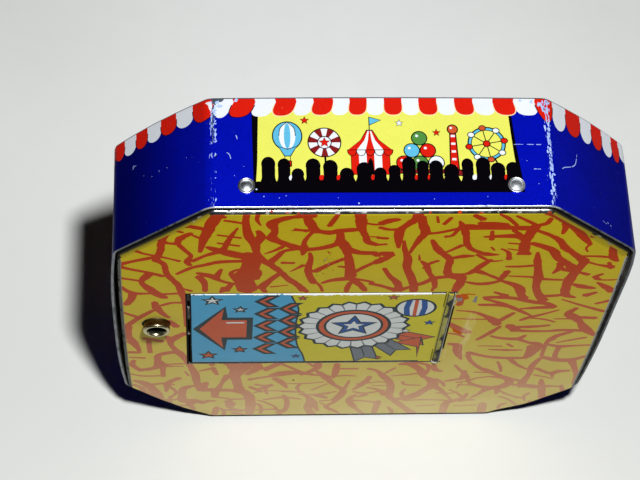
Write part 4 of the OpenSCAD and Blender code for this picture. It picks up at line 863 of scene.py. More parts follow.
def plate_marks(cv):
    """Small dark specks and the scuffs beside the hinge."""
    A = Art(cv)
    rnd = random.Random(12)
    for x, z in ((-5.6, 20.6), (-5.9, 19.8), (-5.4, 19.4), (-6.3, 19.0), (-5.7, 18.6), (-6.1, 18.1), (-5.3, 17.9), (-6.4, 17.2),
                 (-5.8, 16.8), (-6.6, 16.1), (-5.0, 16.4), (-6.2, 15.4), (-4.6, 18.7), (-4.1, 17.6), (-6.9, 14.9), (-5.5, 21.3)):
        A.fill([(x + rnd.uniform(.04, .13) * cos(rad(f)), z + rnd.uniform(.05, .16) * sin(rad(f))) for f in range(0, 360, 60)], "p_black_and_shade")
    A.stroke([(-6.0, 19.6), (-6.2, 18.9)], .12, "p_scuff")
    A.stroke([(-5.6, 18.3), (-5.7, 17.8)], .10, "p_scuff")
    A.fill([(-8.8, -18.1), (-8.5, -18.05), (-8.45, -18.4), (-8.7, -18.45)], "p_black_and_shade")
    # grey and orange scuffs
    for pts, k in (([(11.2, 7.9), (12.0, 8.2), (12.1, 7.2), (11.5, 7.0)], "p_scuff"), ([(13.6, 8.4), (13.9, 8.7), (14.0, 6.6), (13.4, 6.9)], "p_scuff"),
                   ([(11.7, 9.4), (12.5, 9.3), (12.9, 7.9), (12.3, 7.4), (11.9, 8.3)], "p_orange"),
                   ([(12.4, 9.5), (13.6, 9.2), (13.5, 8.9), (12.6, 9.1)], "p_orange"),
                   ([(11.6, -.9), (12.2, -1.6), (13.3, -2.9), (13.0, -3.2), (12.0, -2.4)], "p_orange")):
        A.fill(pts, k)


# the two lower bends have been knocked rounder, so that the walls there sit lower than in a true octagon
def step(a, b, v):
    t = max(0.0, min(1.0, (v - a) / (b - a)))
    return t * t * (3 - 2 * t)


def sag(x, z, w, floor=-31.99):
    u = abs(x)
    v = 2.0 * step(19.9, 26.2, u) if x > 0 else .9 * step(19.9, 24.5, u) * (1 - .5 * step(27, 31, u))
    v *= step(-11, -20, z) * max(0.0, min(1.0, w))
    return max(z - v, min(z, floor))


# ------------------------------------------------------------------ printed tray
FIL = 0.4
ARC = pi / 2 * FIL
BEAD = 0.24
OUT = Oct(0.0)
TB = Oct(FIL)
D_RIM = ARC + (YF + BEAD - YR) - FIL - 0.08
ARC_S = pi / 4 * BEND
S0 = [0.0]
for k_ in range(8):
    S0.append(S0[-1] + OUT.h[k_ % 8] + ARC_S + OUT.h[(k_ + 1) % 8])
PERIM = S0[8]


def at_s(s, d):
    """Blank point at s along the outline (0 at the middle of the top wall), d outside the flat part."""
    s = (s + OUT.h[0] + 1e-9) % PERIM - OUT.h[0] - 1e-9
    for k in range(8):
        a = s - S0[k]
        if a <= OUT.h[k] + 1e-9:
            return TB.wall(k, a, d)
        if a <= OUT.h[k] + ARC_S:
            f = rad(45 * k + 45 * (a - OUT.h[k]) / ARC_S)
            return (TB.c[k][0] + (TB.r + d) * sin(f), TB.c[k][1] + (TB.r + d) * cos(f))
    return TB.wall(0, s - PERIM, d)


# edges of the awning's stripes along the outline; the first stripe is red, and they alternate from there
EDGE_7 = (-7.9, -6.1, -3.9, -1.8, .6, 3.2, 5.9)
EDGE_0 = (-19.75, -17.6, -14.95, -12.5, -10.0, -7.9, -5.5, -3.5, -1.4, .7, 2.85, 4.9, 7.1, 9.25, 11.5, 13.95, 16.5, 19.1)
EDGE_1 = (-7.2, -4.7, -1.85, .5, 2.75, 5.0, 6.7)
STRIPES = [S0[7] - PERIM + a for a in EDGE_7] + list(EDGE_0) + [S0[1] + a for a in EDGE_1]
GAP = STRIPES[0] + PERIM - STRIPES[-1]
NFILL = 2 * round(GAP / 4.4) - (len(STRIPES) % 2)
STRIPES += [STRIPES[-1] + GAP * j / NFILL for j in range(1, NFILL)] + [STRIPES[0] + PERIM]


def wall_of(s):
    """Wall, and place along it, for s along the outline."""
    for k in range(-1, 9):
        a = s - (S0[k] if k >= 0 else S0[7] - PERIM) if k < 8 else s - PERIM
        if abs(a) <= OUT.h[k % 8]:
            return k % 8, a
    return None, 0.0


def reach(i):
    """How far down the wall the stripe hangs; the printing sits askew, so it differs from wall to wall."""
    k, a = wall_of((STRIPES[i] + STRIPES[i + 1]) / 2)
    if k == 7:
        return 2.45 + .4 * math.exp(-((a - 7.2) / 2) ** 2)
    if k == 0:
        return 2.35 + .3 * min(1, max(0, (-a - 8) / 11))
    if k == 1:
        return 3.3 + .5 * min(1, max(0, (-a - 2) / 5))
    return 3.2 if 15 < STRIPES[i] < 28 else 2.6


def stripe(i, w1=1.25, w2=2.4, grow=0.0, r_in=24.0, tip_only=False):
    sl, sr = STRIPES[i], STRIPES[i + 1]

    def lean(s, w):
        k, a = wall_of(s)
        f = a / OUT.R[k] * .45 if k is not None else 0.0
        if k == 0:
            f -= .15 * min(1.3, max(0.0, (3 - a) / 10))
        return s + f * (w - 1.2)

    def pt(side, w, f=1.0):
        a, b = lean(sl, w), lean(sr, w)
        mid, hw = (a + b) / 2, (b - a) / 2 + grow
        return at_s(mid + side * hw * f, w + ARC - FIL + BEAD)

    def inner(s):
        q = Vector(at_s(s, 0.0)).normalized() * r_in
        return tuple(q)

    left, right = [], []
    if tip_only:
        left += [pt(-1, 0.9)]
        right += [pt(1, 0.9)]
    else:
        left += [inner(sl), at_s(sl, 0.0), pt(-1, 0.5)]
        right += [inner(sr), at_s(sr, 0.0), pt(1, 0.5)]
    tip = []
    flat = wall_of((sl + sr) / 2)[0] == 0
    e1, e2 = (0.8, 0.85) if flat else (0.95, 0.9)
    for j in range(0, 13):
        f = pi * j / 12
        c = cos(f)
        fr = (1 if c > 0 else -1) * abs(c) ** e1
        tip.append(pt(-1, w1 + (w2 + grow - w1) * sin(f) ** e2, fr))
    return left + tip + right[::-1]


def wallart(k, line="black", w=0.14):
    return lambda cv: Art(cv, lambda p: TB.wall(k, p[0], ARC + 14.7 + BEAD - FIL - p[1]), line, w)


def bumps(A, x0, x1, v0, top, seed, col="black"):
    """A dark clipped hedge along the foot of a panel: rounded tops of uneven height on broad bases."""
    rnd = random.Random(seed)
    A.fill([(x0, v0), (x1, v0), (x1, top), (x0, top)], col)
    x = x0 + .95
    while x < x1 - .9:
        r = rnd.uniform(.72, .98)
        x += r
        if x + r * .8 > x1:
            break
        h = rnd.choice([4.3, 4.7, 5.0, 5.3, 5.6]) + rnd.uniform(-.15, .15)
        ry = r * rnd.uniform(1.0, 1.25)
        A.fill(disc((x, h), r, 20, ry), col)
        A.fill(curve([(x - r * 1.25, top - .2), (x - r * .95, top + .5), (x - r * .8, h), (x + r * .8, h), (x + r * .95, top + .5),
                      (x + r * 1.25, top - .2)], 4), col)
        if rnd.random() < .3:
            A.fill(disc((x + r * 1.15, top + .45), .34, 10, .42), rnd.choice(["red", "white", "red"]))
            A.fill([(x + r * .6, top - .3), (x + r * 1.7, top - .3), (x + r * 1.7, top + .15), (x + r * .6, top + .15)], col)
        x += r * rnd.uniform(1.0, 1.35)


def balloon(A, x, v, r, c1="sky", c2="white", basket="red"):
    A.shape(disc((x, v), r, 28, r * 1.1), c1)
    A.fill(disc((x, v), r * .56, 24, r * 1.03), c2)
    A.fill(disc((x, v), r * .22, 20, r * 1.0), c1)
    A.stroke(curve([(x - r * .56, v + .0), (x - r * .46, v + r * .62), (x, v + r * 1.08)], 5), .09)
    A.stroke(curve([(x + r * .56, v + .0), (x + r * .46, v + r * .62), (x, v + r * 1.08)], 5), .09)
    A.shape([(x - r * .62, v - r * .82), (x - r * .2, v - r * 1.55), (x + r * .2, v - r * 1.55), (x + r * .62, v - r * .82),
             (x, v - r * 1.02)], c1, .12)
    for s in (-1, 1):
        A.stroke([(x + s * r * .2, v - r * 1.55), (x + s * r * .17, v - r * 1.95)], .08)
    A.shape(box2(x - r * .25, v - r * 2.35, x + r * .25, v - r * 1.92, .08, 2), basket, .12)


def tent(A, x, v, w, h, c1="red", c2="white"):
    """Round show tent: striped roof, scalloped edge, striped wall, flag."""
    n = 5
    eave = v + h * .46
    A.shape([(x - w * .42, v), (x + w * .42, v), (x + w * .42, eave), (x - w * .42, eave)], c2)
    for i in range(n):
        a0 = x - w * .42 + w * .84 * i / n
        if i % 2 == 0:
            A.fill([(a0, v), (a0 + w * .84 / n, v), (a0 + w * .84 / n, eave), (a0, eave)], c1)
    A.fill([(x - w * .08, v), (x + w * .08, v), (x + w * .05, v + h * .26), (x, v + h * .32), (x - w * .05, v + h * .26)], "black")
    roof = [(x - w * .5, eave), (x + w * .5, eave), (x + w * .2, v + h * .66), (x + w * .06, v + h * .86), (x - w * .06, v + h * .86),
            (x - w * .2, v + h * .66)]
    A.shape(roof, c2)
    for i in (0, 2, 4):
        a0, a1 = -0.5 + i / n, -0.5 + (i + 1) / n
        A.fill([(x + a0 * w, eave + .04), (x + a1 * w, eave + .04), (x + a1 * .4 * w, v + h * .66), (x + a1 * .12 * w, v + h * .85),
                (x + a0 * .12 * w, v + h * .85), (x + a0 * .4 * w, v + h * .66)], c1)
    for i in range(n):
        a0 = x - w * .5 + w * (i + .5) / n
        hw = w / n * .5
        A.shape([(a0 - hw, eave + .1)] + [(a0 + hw * cos(rad(f)), eave - h * .10 * sin(rad(-f))) for f in range(180, 361, 20)] + [(a0 + hw, eave + .1)],
                c1 if i % 2 == 0 else c2, .09)
    A.stroke([(x, v + h * .84), (x, v + h * 1.12)], .12)
    A.shape([(x, v + h * 1.12), (x, v + h * .96), (x + w * .26, v + h * 1.06)], "sky" if c1 != "sky" else "red", .1)


def wheel(A, x, v, r, col="sky"):
    """Fairground wheel with cabins."""
    A.stroke([(x - r * .62, v - r * 1.45), (x, v)], .2)
    A.stroke([(x + r * .62, v - r * 1.45), (x, v)], .2)
    ring_ = disc((x, v), r, 32)
    A.fill(offset(ring_, .16), A.ln)
    A.fill(ring_, col)
    A.fill(offset(ring_, -.26), A.ln)
    A.fill(offset(ring_, -.36), "lemon")
    for i in range(8):
        f = rad(45 * i + 11)
        A.stroke([(x + .3 * cos(f), v + .3 * sin(f)), (x + (r - .2) * cos(f), v + (r - .2) * sin(f))], .12)
    for i in range(8):
        f = rad(45 * i + 11)
        c = (x + (r + .02) * cos(f), v + (r + .02) * sin(f))
        A.shape(disc(c, .42, 12, .36), ("red", "white", "orange", "white")[i % 4], .11)
    A.shape(disc((x, v), .42, 14), "red", .12)


def pinwheel(A, x, v, r, foot):
    A.stroke([(x, v), (x + .1, foot)], .24)
    A.shape(disc((x, v), r, 32), "white")
    for i in range(7):
        f0, f1 = rad(360 / 7 * i), rad(360 / 7 * i + 26)
        A.fill([(x, v)] + [(x + (r - .07) * cos(f0 + (f1 - f0) * j / 4), v + (r - .07) * sin(f0 + (f1 - f0) * j / 4)) for j in range(5)],
               "maroon")
    A.shape(disc((x, v), r * .42, 20), "white", .12)
    A.shape(star((x, v), r * .36), "red", .06)


def balls(A, x, v, r):
    cols = ["red", "green", "white", "sky", "red", "green"]
    i = 0
    for row, n in enumerate((3, 2, 1)):
        for j in range(n):
            c = (x + (j - (n - 1) / 2) * 2.06 * r, v + r + row * 1.78 * r)
            A.shape(disc(c, r, 20), cols[i], .13)
            A.fill(disc((c[0] - r * .3, c[1] + r * .35), r * .2, 8), "white")
            i += 1
    A.shape([(x - 3.3 * r, v - .5), (x + 3.3 * r, v - .5), (x + 2.9 * r, v), (x - 2.9 * r, v)], "maroon", .12)


def striker(A, x, v, h):
    """Tall striker tower with a bell."""
    A.shape([(x - .55, v), (x + .55, v), (x + .34, v + h), (x - .34, v + h)], "red")
    for i in range(5):
        y = v + .7 + i * (h - 1.4) / 4
        A.fill([(x - .26, y), (x + .26, y), (x + .24, y + .3), (x - .24, y + .3)], "white")
    A.shape(disc((x, v + h + .35), .62, 20), "orange")
    A.fill(disc((x - .18, v + h + .55), .16, 8), "white")
    A.shape([(x - 1.3, v - .3), (x + 1.3, v - .3), (x + .8, v + .45), (x - .8, v + .45)], "maroon")


def pennants(A, x0, x1, v, n, sag):
    pts = [(x0 + (x1 - x0) * i / n, v - sag * 4 * (i / n) * (1 - i / n)) for i in range(n + 1)]
    for i in range(n):
        a, b = pts[i], pts[i + 1]
        t = ((b[0] - a[0]) * .16, (b[1] - a[1]) * .16)
        A.shape([(a[0] + t[0], a[1] + t[1]), (b[0] - t[0], b[1] - t[1]), ((a[0] + b[0]) / 2, (a[1] + b[1]) / 2 - .72)],
                ("red", "white", "sky")[i % 3], .08)
    A.stroke(pts, .09)


def scene_panel(cv, k, x0, x1, seed, order):
    A = wallart(k)(cv)
    left = curve([(x0, 12.9), (x0 + .05, 9), (x0 + .1, 5), (x0 + .1, 1.9)], 4)
    right = curve([(x1 - .05, 12.9), (x1 + .2, 9), (x1 + .5, 6), (x1 + .9, 1.9)], 4)
    A.fill(left + right[::-1], "black")
    li = curve([(x0 + .8, 12.9), (x0 + .68, 9), (x0 + .6, 6), (x0 + .4, 3.0)], 4)
    ri = curve([(x1 - .42, 12.9), (x1 - .2, 9), (x1 + .02, 6), (x1 + .42, 3.0)], 4)
    A.fill(li + ri[::-1], "lemon")
    order(A)
    bumps(A, x0 + .1, x1 + .75, 1.86, 3.4, seed)


def top_order(A):
    balloon(A, -11.0, 9.5, 1.75)
    pinwheel(A, -6.6, 8.6, 1.95, 4.2)
    tent(A, -1.2, 4.3, 5.4, 6.9)
    balls(A, 4.7, 4.9, .93)
    striker(A, 8.75, 4.4, 5.6)
    wheel(A, 12.75, 8.4, 2.15)
    A.shape(star((-8.9, 11.6), .55), "red", .07)
    A.shape(star((2.4, 11.2), .5), "white", .07)
    A.shape(star((6.8, 9.9), .5), "red", .07)


def left_order(A):
    wheel(A, -10.9, 8.4, 2.15, "white")
    tent(A, -5.0, 4.3, 5.0, 6.6, "sky", "white")
    striker(A, -.6, 4.4, 5.2)
    balloon(A, 3.0, 9.6, 1.7, "red", "white", "sky")
    balls(A, 7.6, 4.9, .9)
    pinwheel(A, 12.3, 8.6, 1.95, 4.2)
    A.shape(star((.9, 11.5), .5), "white", .07)
    A.shape(star((9.9, 11.2), .5), "red", .07)


def slot_panel(cv):
    """Right-hand wall: a plain framed field round the coin slot, with an arrow and stars."""
    A = wallart(2)(cv)
    A.shape(box2(-19.4, 4.4, 16.0, 10.6, 1.2), "lemon", .5)
    A.fill(offset(box2(-19.4, 4.4, 16.0, 10.6, 1.2), -.75), "red")
    A.fill(offset(box2(-19.4, 4.4, 16.0, 10.6, 1.2), -1.05), "lemon")
    A.fill(box2(-19.35, 6.1, .35, 8.9, .3, 2), "black")
    A.shape([(1.4, 7.5), (4.2, 9.3), (4.2, 8.2), (7.4, 8.2), (7.4, 6.8), (4.2, 6.8), (4.2, 5.7)], "red", .2)
    for i, x in enumerate((9.2, 11.3, 13.4)):
        A.shape(star((x, 7.5), .95, rot=180), ("sky", "white", "sky")[i], .12)


def ring_face(cv, oc, d0, d1, col, seed=None, part=None):
    """A band of colour right round the outline, with a slightly uneven edge."""
    rnd = random.Random(seed)
    a, b = oc.ring(d0), oc.ring(d1)
    n = len(a)
    w = [rnd.uniform(-.03, .03) if seed else 0.0 for _ in range(n)]
    for i in range(n):
        j = (i + 1) % n
        if part and not part(i):
            continue
        q = [Vector(b[i]) + (Vector(b[i]) - Vector(a[i])).normalized() * w[i], Vector(b[j]) + (Vector(b[j]) - Vector(a[j])).normalized() * w[j]]
        cv.face([a[i], a[j], tuple(q[1]), tuple(q[0])], col)


def flakes(cv, i, spots, seed, off=0.0, bi=0.0):
    """Patches where the ink has flaked off the bend after wall i: (distance from the rim, half width, how many)."""
    rnd = random.Random(seed)
    mid = S0[i] + OUT.h[i] + ARC_S / 2 + off
    for v0, v1, wide, n, r0, r1 in spots:
        for _ in range(n):
            v, o = rnd.uniform(v0, v1), rnd.gauss(0, wide) + rnd.choice((-bi, bi))
            c = at_s(mid + o, D_RIM + .08 - v)
            r, el, t = rnd.uniform(r0, r1), rnd.uniform(1.0, 2.1), rnd.uniform(-.5, .5)
            pts = []
            for f in range(0, 360, 40):
                q = r * rnd.uniform(.55, 1.15)
                x, y = q * cos(rad(f)) * .75, q * el * sin(rad(f))
                pts.append((x * cos(t) - y * sin(t), x * sin(t) + y * cos(t)))
            g = rad(-45 * i - 22.5)
            cv.face([(c[0] + x * cos(g) - y * sin(g), c[1] + x * sin(g) + y * cos(g)) for x, y in pts],
                    "flake" if rnd.random() < .72 else ("scratch" if rnd.random() < .6 else "navy"))


def chipped_band(cv, i, v0, v1, off, seed):
    """Ragged runs of bare metal along the bend after wall i."""
    rnd = random.Random(seed)
    mid = S0[i] + OUT.h[i] + ARC_S / 2 + off
    v = v0
    while v < v1:
        l = rnd.uniform(.3, 1.25)
        n = max(2, int(l / .16))
        c, w = mid + rnd.uniform(-.16, .16), rnd.uniform(.07, .23)
        lft, rgt = [], []
        for j in range(n + 1):
            t = j / n
            e = w * (.35 + .65 * sin(pi * min(1, max(0, t))) ** .5)
            vv = D_RIM + .08 - (v + l * t)
            lft.append(at_s(c - e * rnd.uniform(.45, 1.25), vv))
            rgt.append(at_s(c + e * rnd.uniform(.45, 1.25), vv + rnd.uniform(-.04, .04)))
        cv.face(lft + rgt[::-1], "flake" if rnd.random() < .75 else "scratch")
        v += l + rnd.uniform(-.12, .22)


def tray_scratches(cv):
    A = wallart(0)(cv)
    for pts, w in (([(-17.08, 9.65), (-16.98, 9.4), (-16.93, 9.12)], .09), ([(-18.18, 7.3), (-17.98, 7.18), (-17.82, 6.95), (-17.70, 6.46)], .08),
                   ([(15.98, 8.32), (16.6, 8.33), (17.11, 8.32)], .05), ([(17.6, 8.32), (18.4, 8.31)], .07), ([(18.7, 8.31), (19.27, 8.30)], .09),
                   ([(18.17, 4.98), (18.5, 4.99)], .08), ([(18.6, 4.97), (19.0, 4.97)], .06)):
        A.stroke(pts, w, "scratch")
    for x, v, r in ((-2.8, .47, .10), (-14.75, 2.35, .11), (-13.9, 1.4, .07), (-12.1, 1.2, .05), (-11.3, 1.5, .06), (6.1, 1.0, .05), (-16.2, 5.4, .04),
                    (-17.3, 4.2, .04), (17.4, 6.1, .05), (18.6, 3.0, .05), (-5.2, 1.2, .04), (12.4, 1.3, .05)):
        A.fill(disc((x, v), r, 8), "scratch")
    B = wallart(1)(cv)
    B.stroke(curve([(-6.21, 5.77), (-5.7, 6.15), (-5.11, 6.38), (-4.4, 6.7)], 3), .09, "scratch")
    B.stroke(curve([(-4.2, 6.8), (-3.87, 7.01), (-3.45, 7.4), (-3.24, 7.88), (-3.1, 8.3)], 3), .11, "scratch")
    B.stroke([(-3.05, 8.5), (-2.97, 8.95)], .06, "scratch")
    for x, v in ((1.6, 1.62), (2.1, 1.55), (2.5, 1.75), (3.1, 1.6)):
        B.stroke([(x, v), (x + .25, v - .12)], .06, "scratch")
    C = wallart(7)(cv)
    C.stroke([(-4.6, 9.95), (-4.3, 10.25), (-3.92, 10.31)], .06, "scratch")
    C.stroke([(-4.54, 10.2), (-4.36, 10.5)], .05, "scratch")
    for pts in ([(.1, 8.04), (.14, 7.84)], [(1.45, 7.95), (1.5, 7.8)], [(-1.15, 7.74), (-1.1, 7.62)], [(4.7, 8.05), (4.72, 7.9)], [(-2.6, 8.4), (-2.55, 8.3)]):
        C.stroke(pts, .045, "scratch")
    for k, sd in ((2, 5), (4, 7), (6, 9), (3, 3), (5, 4)):
        rnd = random.Random(sd)
        D = wallart(k)(cv)
        hw = OUT.h[k] - 1
        for _ in range(9 if k % 2 == 0 else 4):
            x, v, f, l = rnd.uniform(-hw, hw), rnd.uniform(1, 11), rnd.uniform(-.6, .6), rnd.uniform(.3, 1.1)
            D.stroke([(x, v), (x + l * cos(f), v + l * sin(f))], rnd.uniform(.04, .07), "scratch")


def front_art(cv):
    """Printed face, drawn as seen from the front: a ring of stars round a show-ground medallion."""
    A = Art(cv, lambda p: (-p[0], p[1]), "black", .18)
    A.fill(disc((0, 0), 24.35, 192), "black")
    A.fill(disc((0, 0), 24.0, 192), "lemon")
    A.fill(disc((0, 0), 20.75, 160), "black")
    A.fill(disc((0, 0), 20.45, 160), "red")
    A.fill(disc((0, 0), 19.6, 160), "black")
    A.fill(disc((0, 0), 19.35, 160), "blue")
    for i in range(32):
        f = 360 / 32 * (i + .5)
        c = (22.38 * cos(rad(f)), 22.38 * sin(rad(f)))
        if i % 2:
            A.shape(star(c, 1.15, rot=f), "red", .12)
        else:
            A.shape([(c[0] + r * cos(rad(f + g)), c[1] + r * sin(rad(f + g))) for g, r in ((0, .95), (90, .6), (180, .95), (270, .6))],
                    "blue", .12)
    # ground, tent, a balloon, stars and a row of coloured discs
    ground = curve([(-15.5, -10.6), (-9, -8.4), (0, -7.6), (9, -8.4), (15.5, -10.6)], 8)
    A.fill(ground + [(18.4 * cos(rad(f)), 18.4 * sin(rad(f))) for f in range(-36, -145, -6)], "green")
    A.stroke(ground, .2)
    rays = Art(cv, lambda p: (-p[0], p[1]), "black", .14)
    tent(A, -1.2, -8.6, 17.0, 18.6)
    balloon(rays, -13.3, 4.2, 2.3, "sky", "white", "orange")
    for x, v, r, c in ((-12.2, -3.4, .9, "lemon"), (-6.6, 12.6, 1.1, "lemon"), (7.2, 10.6, 1.0, "lemon"), (4.2, 15.2, .8, "white"),
                       (-2.6, 16.2, .8, "white"), (-10.2, 10.4, .7, "white"), (11.6, 5.8, .8, "white"), (-15.6, -2.2, .6, "white"),
                       (11.2, -5.4, .9, "lemon"), (14.6, -4.6, .6, "white"), (9.6, 13.2, .6, "white")):
        A.shape(star((x, v), r), c, .1)
    for i in range(9):
        x = -12 + i * 3.0
        A.shape(disc((x, -11.7 - .35 * (4 - abs(i - 4))), 1.0 + .2 * (i % 2), 18), ("red", "lemon", "sky", "white")[i % 4], .14)
    # frame of the number window
    A.fill(box2(10.1, -3.1, 19.0, 3.1, .9), "black")
    A.fill(box2(10.35, -2.85, 18.9, 2.85, .75), "lemon")
    A.fill(box2(10.95, -2.3, 18.9, 2.3, .5), "black")
    A.fill(box2(11.15, -2.1, 18.85, 2.1, .4), "white")


def make_tray():
    cv = Canvas()
    cv.face(TB.ring(D_RIM), "blue")
    scene_panel(cv, 0, -15.2, 16.0, 11, top_order)
    scene_panel(cv, 6, -15.2, 15.6, 23, left_order)
    slot_panel(cv)
    tray_scratches(cv)
    for m in range(1, len(STRIPES) - 1, 2):
        cv.face(stripe(m, grow=.04, w2=reach(m)), "white")
    for m in range(0, len(STRIPES) - 1, 2):
        k, x = wall_of((STRIPES[m] + STRIPES[m + 1]) / 2)
        cv.face(stripe(m, grow=.12, tip_only=True, w1=1.2, w2=reach(m)), "pink" if k in (0, 6) and -14.6 < x < 16 else "navy")
        cv.face(stripe(m, w2=reach(m)), "red")
    ring_face(cv, TB, .02, .52, "slate", 9)
    front_art(cv)
    # the two upper bends are rubbed: the left one to a dull band with bright sides, the right one in ragged flakes
    m7 = S0[7] + OUT.h[7] + ARC_S / 2 + .58
    rnd = random.Random(31)
    band = [(m7 + rnd.uniform(-.05, .05), D_RIM + .08 - v) for v in (8.6, 9.2, 9.8, 10.4, 11.0, 11.6, 12.2, 12.8, 13.4)]
    cv.face(ribbon(curve([at_s(*q) for q in band], 3), .42), "slate")
    flakes(cv, 7, ((8.5, 13.0, .07, 60, .08, .20), (12.8, 14.3, .10, 14, .12, .26), (6.6, 7.1, .07, 9, .12, .24), (2.0, 6.0, .09, 12, .04, .10),
                   (.2, 1.3, .12, 12, .06, .16)), 21, .58, .22)
    cv.face([at_s(m7 + o, D_RIM + .08 - v) for o, v in ((-.95, 14.2), (-.5, 14.35), (-.15, 14.1), (-.1, 13.5), (-.25, 12.9), (-.45, 13.3), (-.6, 13.9))],
            "white")
    A = wallart(0)(cv)
    A.fill([(-20.0, 14.9), (-18.2, 14.9), (-18.7, 14.25), (-19.1, 14.2), (-19.5, 13.8), (-19.9, 14.0)], "slate")
    chipped_band(cv, 0, .2, 13.4, -.22, 41)
    chipped_band(cv, 0, 1.5, 12.6, .10, 43)
    flakes(cv, 0, ((.2, 13.0, .20, 46, .05, .16), (13.0, 14.5, .26, 26, .08, .24), (.3, 3.0, .10, 14, .14, .28)), 22, -.12, .20)
    # small chips at the printed edge of the top wall
    rnd = random.Random(4)
    for s, w in ((-19.2, .5), (-18.9, 1.0), (-19.6, 1.6), (18.6, .5), (19.4, .9), (19.9, 1.5), (17.2, .3), (-17.0, .25)):
        c = at_s(s, w + ARC - FIL + BEAD)
        cv.face([(c[0] + rnd.uniform(.12, .4) * cos(rad(f)), c[1] + rnd.uniform(.12, .4) * sin(rad(f))) for f in range(0, 360, 45)],
                "scratch")
    # holes: coin slot, rivets, posts, window
    A = wallart(2)(cv)
    A.fill(box2(-19, 6.5, 0, 8.5), None)
    for k in (0, 4):
        A = wallart(k)(cv)
        for sx in (-1, 1):
            A.fill(disc((sx * 15.92, 2.8), .62 if k == 0 else 1.02, 32), None)
    for sx in (-1, 1):
        for sz in (-1, 1):
            cv.face(disc((sx * 22, sz * 21), 1.0, 32), None)
    cv.face(box2(-18.5, -1.7, -11.5, 1.7), None)
    for j in range(7):
        cv.line(TB.ring(ARC * j / 6), True)
    for j in range(6):
        cv.line(TB.ring(-1.5 + 1.1 * j / 5), True)
    for d in (-7.0, -5.0, -3.2):
        cv.line(TB.ring(d), True)
    for p, q in zip(TB.ring(0.0), TB.ring(D_RIM)):
        cv.line([p, q])
    # lines across the walls carry the bow and keep the wear fields straight
    for k in range(8):
        n_ = 12 if k in (2, 6) else (24 if k in (3, 5) else (6 if k % 2 else 10))
        for i in range(1, n_):
            a = OUT.h[k] * (2 * i / n_ - 1)
            cv.line([TB.wall(k, a, -1.5), TB.wall(k, a, D_RIM)])
            if k not in (2, 6):
                cv.line([TB.wall(k, a, -7), TB.wall(k, a, -1.5)])
    for i in range(1, 8):
        cv.line(TB.ring(D_RIM * i / 8), True)

    def shape(x, z, d, k, a):
        # the unstiffened side walls bow out a little towards the open rim, and the face has a raised bead round it
        if k % 8 in (2, 6) and d > 0:
            bow = (0.62 if k == 2 else 0.70) * (1 - min(1, abs(a) / OUT.h[2]) ** 3) * min(1, d / D_RIM) ** 0.8
            x += bow if k == 2 else -bow
        if x > 22 and d > 0:
            t = min(1, (x - 22) / 9)
            x += .30 * t * t * (3 - 2 * t) * math.exp(-((z - 17) / 7) ** 2) * min(1, d / D_RIM) ** 0.8
        # the upper sloping walls and the top bulge a little at the face
        g = {7: .44, 1: .40, 0: .22}.get(k % 8, 0.0)
        if g and d > -7:
            t = min(1, abs(a) / (OUT.h[k] + .6))
            q = g * (1 - t * t) * (max(0, 1 - d / D_RIM) ** 1.2 if d > 0 else (1 + d / 7) ** 2)
            x, z = x + TB.n[k][0] * q, z + TB.n[k][1] * q
        t = min(1.0, max(0.0, (d + 1.5) / 1.1))
        sl = BEAD * 6 * t * (1 - t) / 1.1 if d <= 0 else 0.0
        return x, YF + BEAD * t * t * (3 - 2 * t), z, sl

    def low(x, z, d):
        return sag(x, z, .86 * (.55 + .45 * min(1, d / D_RIM / .55) if d > 0 else .55 * max(0, 1 + d / 5) ** 2))

    wrap = folded(TB, FIL, -1, shape, low)
    worn = {0: -0.25, 7: -0.9, 1: -0.45, 6: -0.45, 2: -0.55, 3: -0.5, 4: -0.6, 5: -0.5}

    def strength(q, p):
        d, k, bend, a = q[2], q[3], q[4], q[5]
        if d <= -0.3:
            return 9.0, 9.0, -0.5
        v = D_RIM + .08 - d
        i = k if a > 0 else (k - 1) % 8
        kk = worn[i]
        if i == 7:
            kk += 0.9 * max(0.0, 1 - abs(v - 11.6) / 3.2)
        edge = abs(d - ARC * .5) * 1.1 + 0.16 + (0.12 if k not in (0, 7, 1) else 0.0)
        return (bend if d > 0 else 9.0), min(v + (.02 if k == 0 else (.25 if k == 6 else .13)), edge), kk

    def taper(x, z):
        d, n, k, _, a = TB.locate(x, z)
        if k != 4 or d < 1.0:
            return None
        v = ARC + 14.7 + BEAD - FIL - d
        for sx in (-1, 1):
            r = math.hypot(a - sx * 15.92, v - 2.8)
            if abs(r - 1.02) < 0.01:
                f = .62 / 1.02
                return TB.wall(4, sx * 15.92 + (a - sx * 15.92) * f, ARC + 14.7 + BEAD - FIL - (2.8 + (v - 2.8) * f))
        return None

    ob = sheet("case_tray", cv, wrap, True, "tin_inside", edge="rim_tin", strength=strength, taper=taper,
               rim_of=lambda x, z: abs(TB.locate(x, z)[0] - D_RIM) < 1e-3)
    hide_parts("front_shell")
    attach(ob, "case")
    return ob


# ------------------------------------------------------------------ back plate
PF = 0.7
PARC = pi / 2 * PF
PB = Oct(0.5 + PF)
P_END = PARC + 5.2 - PF - 0.08


def curl(name, a0, a1, z0, z1, mat, body, bore=PR + .04, r=BR, n=40, tail=None):
    """Rolled hinge knuckle: sheet wrapped round the pin from angle a0 to a1 (degrees from +X towards +Y)."""
    outer = [(HX + r * cos(rad(a0 + (a1 - a0) * i / n)), HY + r * sin(rad(a0 + (a1 - a0) * i / n))) for i in range(n + 1)]
    inner = [(HX + bore * cos(rad(a0 + (a1 - a0) * i / n)), HY + bore * sin(rad(a0 + (a1 - a0) * i / n))) for i in range(n, -1, -1)]
    prof = outer + inner
    if area(prof) < 0:
        prof = prof[::-1]
    return prism(name, prof, z0, z1, mat, bev=.05)


